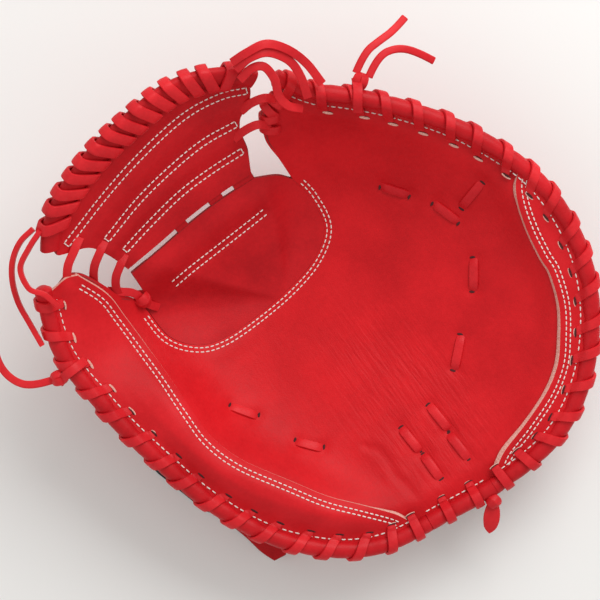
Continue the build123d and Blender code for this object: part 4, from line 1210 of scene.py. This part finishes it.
def back_panel(side, first, last, seams):
    """A back leather with its stitched seams."""
    name, body = f"{side}_back", "palm" if side == "palm" else f"{side}_side"
    plan = coons(first, last, count=60)

    def face(x, y):
        z = back(x, y)
        for seam in seams:
            z = z + 1.0 * np.exp(-((distance_to(x, y, seam) / 1.6) ** 2))
        return z + 0.25 * waves(x, y, 70.0, 43.0) * waves(x, y, 160.0, 29.0)

    x, y = plan[..., 0], plan[..., 1]
    outside = np.stack([x, y, face(x, y)], -1)
    solid = Solid()
    slab(solid, outside, -normals(face, x, y), LEATHER)
    settle(solid.object(name, [BACK, DARK_EDGE]), "back_leather", body, name)
    thread = Solid()
    for seam in seams:
        for offset in (-3.0, 3.0):
            stitches(thread, sideways(seam, offset), face, -0.2, pitch=3.6)
    settle(thread.object(f"{name}_stitches", [THREAD]), "lace", body)


def backs():
    """The three back leathers."""
    rows = 150
    thumb_fold = fold_plan(THUMB_FOLD, 0.14, 0.97, -3.0, rows)
    thumb_rim = rim_plan(HEEL_THUMB - 6, THUMB_TIP + 1, BACK_EDGE, rows)
    back_panel("thumb", thumb_fold, thumb_rim, [(thumb_fold * 0.45 + thumb_rim * 0.55)[10:-6]])
    finger_fold = fold_plan(FINGER_FOLD, 0.14, 0.97, 3.0, rows)
    finger_rim = rim_plan(HEEL_FINGER + 6, FINGER_TIP - 1, BACK_EDGE, rows)
    seams = [(finger_fold * (1 - s) + finger_rim * s)[12:-8] for s in (0.36, 0.68)]
    back_panel("finger", finger_fold, finger_rim, seams)
    left = fold_plan(THUMB_FOLD, 0.45, 0.98, 1.0, rows)
    right = fold_plan(FINGER_FOLD, 0.45, 0.98, -1.0, rows)
    back_panel("palm", left, right, [(left * 0.5 + right * 0.5)[6:-6]])


def wall(name, body, upper, lower, bulge):
    """A leather wall from a line on the pocket leather down to the back leather's edge."""
    share = np.linspace(0, 1, 14)
    grid = upper[:, None] * (1 - share)[None, :, None] + lower[:, None] * share[None, :, None]
    normal = unit(np.cross(np.gradient(grid, axis=0), np.gradient(grid, axis=1)))
    middle = len(grid) // 2
    away = grid[middle, 7] - np.array([*CENTRE, 60.0])
    normal *= np.sign((normal[middle, 7] * away).sum())
    ends = np.sin(np.linspace(0.12, 0.88, len(grid)) * math.pi)[:, None, None]
    grid = grid + normal * bulge * np.sin(share * math.pi)[None, :, None] * ends
    solid = Solid()
    slab(solid, grid, normal, LEATHER * 0.8)
    settle(solid.object(name, [BACK, DARK_EDGE]), "back_leather", body)


def walls():
    """The leather that closes both tips and the side under the web."""
    def raised(plan, height, lift):
        return np.column_stack([plan, height(plan[:, 0], plan[:, 1]) + lift])

    for side, edge, fold, offset, angle in (
        ("thumb", THUMB_EDGE, THUMB_FOLD, -3.0, THUMB_TIP + 1),
        ("finger", FINGER_EDGE, FINGER_FOLD, 3.0, FINGER_TIP - 1),
    ):
        low = np.linspace(fold_point(fold, 0.97, offset), rim_point(angle, BACK_EDGE), 50)
        high = raised(smooth(edge, 50), palm_face, -1.0)
        wall(f"{side}_tip_wall", f"{side}_side", high, raised(low, back, 1.0), 4.0)
    seam = smooth([(-87.0, 1.0), (-64.0, 13.0), (-44.0, 29.0), (-24.0, 47.0), (-7.0, 66.0)], 60)
    low = np.linspace(fold_point(THUMB_FOLD, 0.98, 1.0), fold_point(FINGER_FOLD, 0.98, -1.0), 60)
    wall("web_side_wall", "palm", raised(seam, pocket, -3.4), raised(low, back, 1.0), 3.0)


def pads():
    """The felt pads: plump closed forms under the leather."""
    thumb, finger = THUMB_FOLD, FINGER_FOLD
    for side, body, first, last in (
        ("thumb", "thumb_side", fold_plan(thumb, 0.14, 0.95, -3.5, 90),
         rim_plan(HEEL_THUMB - 6, THUMB_TIP + 6, 0.90, 90)),
        ("finger", "finger_side", fold_plan(finger, 0.14, 0.95, 3.5, 90),
         rim_plan(HEEL_FINGER + 6, FINGER_TIP - 6, 0.90, 90)),
        ("palm", "palm", fold_plan(thumb, 0.31, 0.93, 1.5, 70),
         fold_plan(finger, 0.31, 0.93, -1.5, 70)),
        ("heel", "palm", fold_plan(thumb, 0.08, 0.30, 1.0, 40),
         fold_plan(finger, 0.08, 0.30, -1.0, 40)),
    ):
        rows, cols = len(first), 36
        plan = coons(first, last, count=cols)
        x, y = plan[..., 0], plan[..., 1]
        u = np.linspace(0, 1, rows)[:, None]
        v = np.linspace(0, 1, cols)[None, :]
        inside = np.minimum(np.minimum(u, 1 - u) * rows / 5, np.minimum(v, 1 - v) * cols / 5)
        plump = np.sqrt(np.clip(inside, 0.12, 1.0))
        high = pocket(x, y) - 4.0 / np.maximum(normals(pocket, x, y)[..., 2], 0.45)
        low = pocket(x, y) * 0.58 + back(x, y) * 0.42
        half = np.maximum(high - low, 1.0) / 2 * plump
        solid = Solid()
        slab(solid, *level(x, y, (high + low) / 2 + half), 2 * half, edge_bulge=0.8, edge_slot=0)
        piece = solid.object(f"{side}_pad", [FELT], sharp=math.radians(80))
        puff(piece, PAD_PUFF)
        settle(piece, "pad_felt", body, f"{side}_pad")


# ---------------------------------------------------------------- strap and cuff
STRAP_CENTRE, STRAP_ANGLE = np.array([36.0, -86.0]), math.radians(35.0)
STRAP_LENGTH, STRAP_WIDTH, STRAP_THICKNESS, TAB_LENGTH = 150.0, 34.0, 2.6, 34.0
CUFF = [(-87.5, -95.0), (-50.5, -124.5), (40.0, -58.5), (30.0, 20.0), (-46.0, 18.0)]
CUFF_THICKNESS = 3.0
PAD_PUFF, CUFF_PUFF = 0.8, 0.6  # the most that the cloth step may move a point


def strap_grid(start, end, half_width, rows, cols):
    """A flat grid on the strap's line, with a width for each row."""
    u = np.array([math.cos(STRAP_ANGLE), math.sin(STRAP_ANGLE)])
    v = np.array([-u[1], u[0]])
    along = np.linspace(start, end, rows)[:, None, None]
    width = half_width(np.linspace(0, 1, rows))[:, None, None]
    across = np.linspace(-1, 1, cols)[None, :, None] * width
    return STRAP_CENTRE + along * u + across * v


def strap_band(name, body, start, end, half_width):
    """A stitched leather band lying on the floor."""
    plan = strap_grid(start, end, half_width, 60, 24)
    x, y = plan[..., 0], plan[..., 1]
    v = np.abs(np.linspace(-1, 1, 24))[None, :]
    z = STRAP_THICKNESS - 0.7 * v**6 - 0.25 * np.exp(-(((v - 0.8) / 0.05) ** 2)) + 0 * x
    solid = Solid()
    slab(solid, *level(x, y, z), z)
    settle(solid.object(name, [BACK, DARK_EDGE]), "back_leather", body, name)
    flat = lambda x, y: STRAP_THICKNESS - 0.25 + 0 * x
    rows = [plan[3:-3, edge] for edge in (3, -4)]
    sewn(f"{name}_stitches", body, rows, flat, lift=0.15, pitch=3.6)


def strap():
    """The wrist strap, its tab and its patches."""
    tab_end = -STRAP_LENGTH / 2 + TAB_LENGTH
    full = lambda s: STRAP_WIDTH / 2 * np.clip(0.85 + np.minimum(s, 1 - s) * 6, 0, 1)
    strap_band("wrist_strap", "palm", tab_end, STRAP_LENGTH / 2, full)
    tab = lambda s: STRAP_WIDTH / 2 * (0.55 + 0.45 * np.clip(s * 3.2, 0, 1) ** 0.7)
    strap_band("strap_tab", "strap_end", -STRAP_LENGTH / 2, tab_end - 1.0, tab)
    for name in ("hook_patch", "loop_patch"):
        paint(name, PILE)
    tongue()


TONGUE = [  # the pull tab's two long edges, from under the mitt out to its end
    [(-52.0, -118.0), (-40.0, -126.5), (-30.0, -134.5), (-22.0, -142.0), (-14.5, -147.0)],
    [(-36.0, -104.0), (-26.0, -116.0), (-18.5, -127.0), (-12.0, -137.0), (-8.0, -143.5)],
]


def tongue():
    """The pull tab that shows beside the binding."""
    rows = 30
    plan = coons(*(smooth(edge, rows) for edge in TONGUE), count=12)
    x, y = plan[..., 0], plan[..., 1]
    z = STRAP_THICKNESS + 2.6 + 4.0 * np.linspace(0, 1, rows)[:, None] ** 2 + 0 * x
    solid = Solid()
    slab(solid, *level(x, y, z), LEATHER, edge_bulge=0.4)
    settle(solid.object("strap_pull", [BACK, DARK_EDGE]), "back_leather", "strap_end")


def cuff():
    """The dark padded cuff under the back of the hand."""
    centre = np.mean(CUFF, 0)
    corners = np.array([*CUFF, CUFF[0]])
    lengths = arc_lengths(corners)
    outline = rows_at(corners, lengths, np.linspace(0, lengths[-1], 121)[:-1])
    for _ in range(3):
        outline = (np.roll(outline, 1, 0) + outline * 2 + np.roll(outline, -1, 0)) / 4
    rings = 14
    points, faces = [], []
    for side in (1, -1):
        for r in range(rings):
            share = (1 - r / rings) ** 0.9
            ring_points = centre + (outline - centre) * (share * 0.985)
            rim = np.clip(r / 3.0, 0, 1)
            half = (CUFF_THICKNESS / 2 - 0.15) * (0.45 + 0.55 * math.sqrt(rim))
            points += [(x, y, CUFF_THICKNESS / 2 + side * half) for x, y in ring_points]
        points.append((*centre, CUFF_THICKNESS / 2 + side * (CUFF_THICKNESS / 2 - 0.15)))
    n = len(outline)
    size = rings * n + 1
    for s, side in enumerate((1, -1)):
        base = s * size
        for r in range(rings - 1):
            for k in range(n):
                a, b = base + r * n + k, base + r * n + (k + 1) % n
                quad = (a, b, b + n, a + n)
                faces.append(quad if side > 0 else quad[::-1])
        last = base + (rings - 1) * n
        for k in range(n):
            tri = (last + k, last + (k + 1) % n, base + rings * n)
            faces.append(tri if side > 0 else tri[::-1])
    for k in range(n):
        a, b = k, (k + 1) % n
        faces.append((b, a, a + size, b + size))
    piece = new_object("wrist_cuff", points, faces, [CUFF_KNIT], sharp=math.radians(80))
    puff(piece, CUFF_PUFF)
    settle(piece, "cuff_fabric", "palm", "wrist_cuff")


CLOTH_PRESSURE, CLOTH_FRAMES = 4.0, 20


def puff(piece, cap):
    """Blows a padded piece up by cloth simulation; no point moves more than cap millimetres."""
    cloth = piece.modifiers.new("cloth", "CLOTH")
    cloth.settings.use_pressure = True
    cloth.settings.uniform_pressure_force = CLOTH_PRESSURE
    cloth.settings.quality = 5
    cloth.settings.effector_weights.gravity = 0.0
    scene = bpy.context.scene
    for step in range(1, CLOTH_FRAMES + 1):
        scene.frame_set(step)
    shaped = piece.evaluated_get(bpy.context.evaluated_depsgraph_get()).to_mesh()
    count = len(piece.data.vertices)
    before, after = np.zeros(count * 3), np.zeros(count * 3)
    piece.data.vertices.foreach_get("co", before)
    shaped.vertices.foreach_get("co", after)
    move = (after - before).reshape(-1, 3)
    far = np.linalg.norm(move, axis=1, keepdims=True)
    move *= np.minimum(1.0, cap / 1000 / np.maximum(far, 1e-9))
    place = before.reshape(-1, 3) + np.nan_to_num(move)
    place[:, 2] = np.maximum(place[:, 2], 0.0)
    piece.modifiers.remove(cloth)
    scene.frame_set(1)
    piece.data.vertices.foreach_set("co", place.ravel())
    piece.data.update()


def paint(node_name, material):
    """Gives a CAD node its finished material."""
    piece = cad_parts[node_name]
    piece.data.materials.clear()
    piece.data.materials.append(material)
    for slot in piece.material_slots:
        slot.material = material


# ---------------------------------------------------------------- stage
FLOOR = 12.0  # metres from the middle to an edge
CAMERA_HEIGHT, CAMERA_LENS, SENSOR = 1.3, 137.2, 36.0
LAMPS = (("key", (0.55, 1.0, 1.1), 1.0, 17.5), ("fill", (-1.0, -0.4, 1.2), 1.2, 2.0))


def stage():
    """The floor, the studio light, and the camera straight above the mitt."""
    floor = bpy.data.meshes.new("floor")
    corners = [(-FLOOR, -FLOOR, 0), (FLOOR, -FLOOR, 0), (FLOOR, FLOOR, 0), (-FLOOR, FLOOR, 0)]
    floor.from_pydata(corners, [], [(0, 1, 2, 3)])
    ground = bpy.data.objects.new("floor", floor)
    bpy.context.scene.collection.objects.link(ground)
    floor.materials.append(shader_material("floor_white", (0.80, 0.795, 0.78), 0.7)[0])

    world = bpy.data.worlds.new("studio")
    bpy.context.scene.world = world
    world.use_nodes = True
    sky = world.node_tree.nodes["Background"]
    sky.inputs["Color"].default_value = (1.0, 0.99, 0.97, 1)
    sky.inputs["Strength"].default_value = 0.68
    for name, place, size, power in LAMPS:
        light = bpy.data.lights.new(name, "AREA")
        light.size, light.energy = size, power
        lamp = bpy.data.objects.new(name, light)
        bpy.context.scene.collection.objects.link(lamp)
        lamp.location = place
        aim(lamp, (0.0, 0.0, 0.03))
    camera = bpy.data.cameras.new("camera")
    camera.sensor_width, camera.lens = SENSOR, CAMERA_LENS
    eye = bpy.data.objects.new("camera", camera)
    bpy.context.scene.collection.objects.link(eye)
    eye.location = (*to_metres([0.0, 0.0, 0.0])[:2], CAMERA_HEIGHT)
    bpy.context.scene.camera = eye
    bpy.context.scene.view_settings.view_transform = "Standard"


def aim(thing, target):
    direction = np.array(target) - np.array(thing.location)
    thing.rotation_euler = Vector(direction).to_track_quat("-Z", "Y").to_euler()


# ---------------------------------------------------------------- the model
def thumb_slant(angle):
    return 14.0 * ramp(angle, 302.0, 285.0) * ramp(angle, 172.0, 196.0) + 1.0


def finger_slant(angle):
    return -15.0 * ramp(angle, 320.0, 338.0) * ramp(angle, 458.0, 436.0) - 1.0


def build():
    stage()
    tails()
    palm_halves()
    seam_stitches()
    welt_panel("thumb_welt_panel", "thumb", THUMB_WELT, THUMB_TIP + 1.5, HEEL_THUMB - 3.0,
               [(-124.0, 11.0)], [(60.5, -124.0)], 190, 1.2)
    welt_panel("finger_welt_panel", "finger", FINGER_WELT, HEEL_FINGER + 2.5, 360 + 31.5,
               [(110.0, -93.5)], [(119.0, 73.0)], 150, 1.8)
    rim = (  # part, start, end, how far its binding runs on, body, the lace's slant
        ("thumb", THUMB_TIP, HEEL_THUMB, 0.0, "thumb_side", thumb_slant),
        ("heel", HEEL_THUMB, HEEL_FINGER, 0.5, "palm", lambda angle: 1.0),
        ("finger", HEEL_FINGER, FINGER_TIP, 0.0, "finger_side", finger_slant),
    )
    for part, start, end, more, body, _ in rim:
        binding_piece(f"binding_{part}", start - more, end + more, body)
    for part, start, end, _, body, slant in rim:
        rim_lace(f"rim_lace_{part}", start, end, body, slant)
    for make in (web_upper, web_base, web_tabs, web_top, lace_bars, web_laces, tip_bands, crotch,
                 rim_knots, heel_end, backs, walls, pads, strap, cuff):
        make()
    for name in ("palm_lining", "thumb_lining", "finger_lining", "thumb_loop", "finger_loop"):
        paint(name, LINING)
    paint("wrist_binding", ROLL)


build()
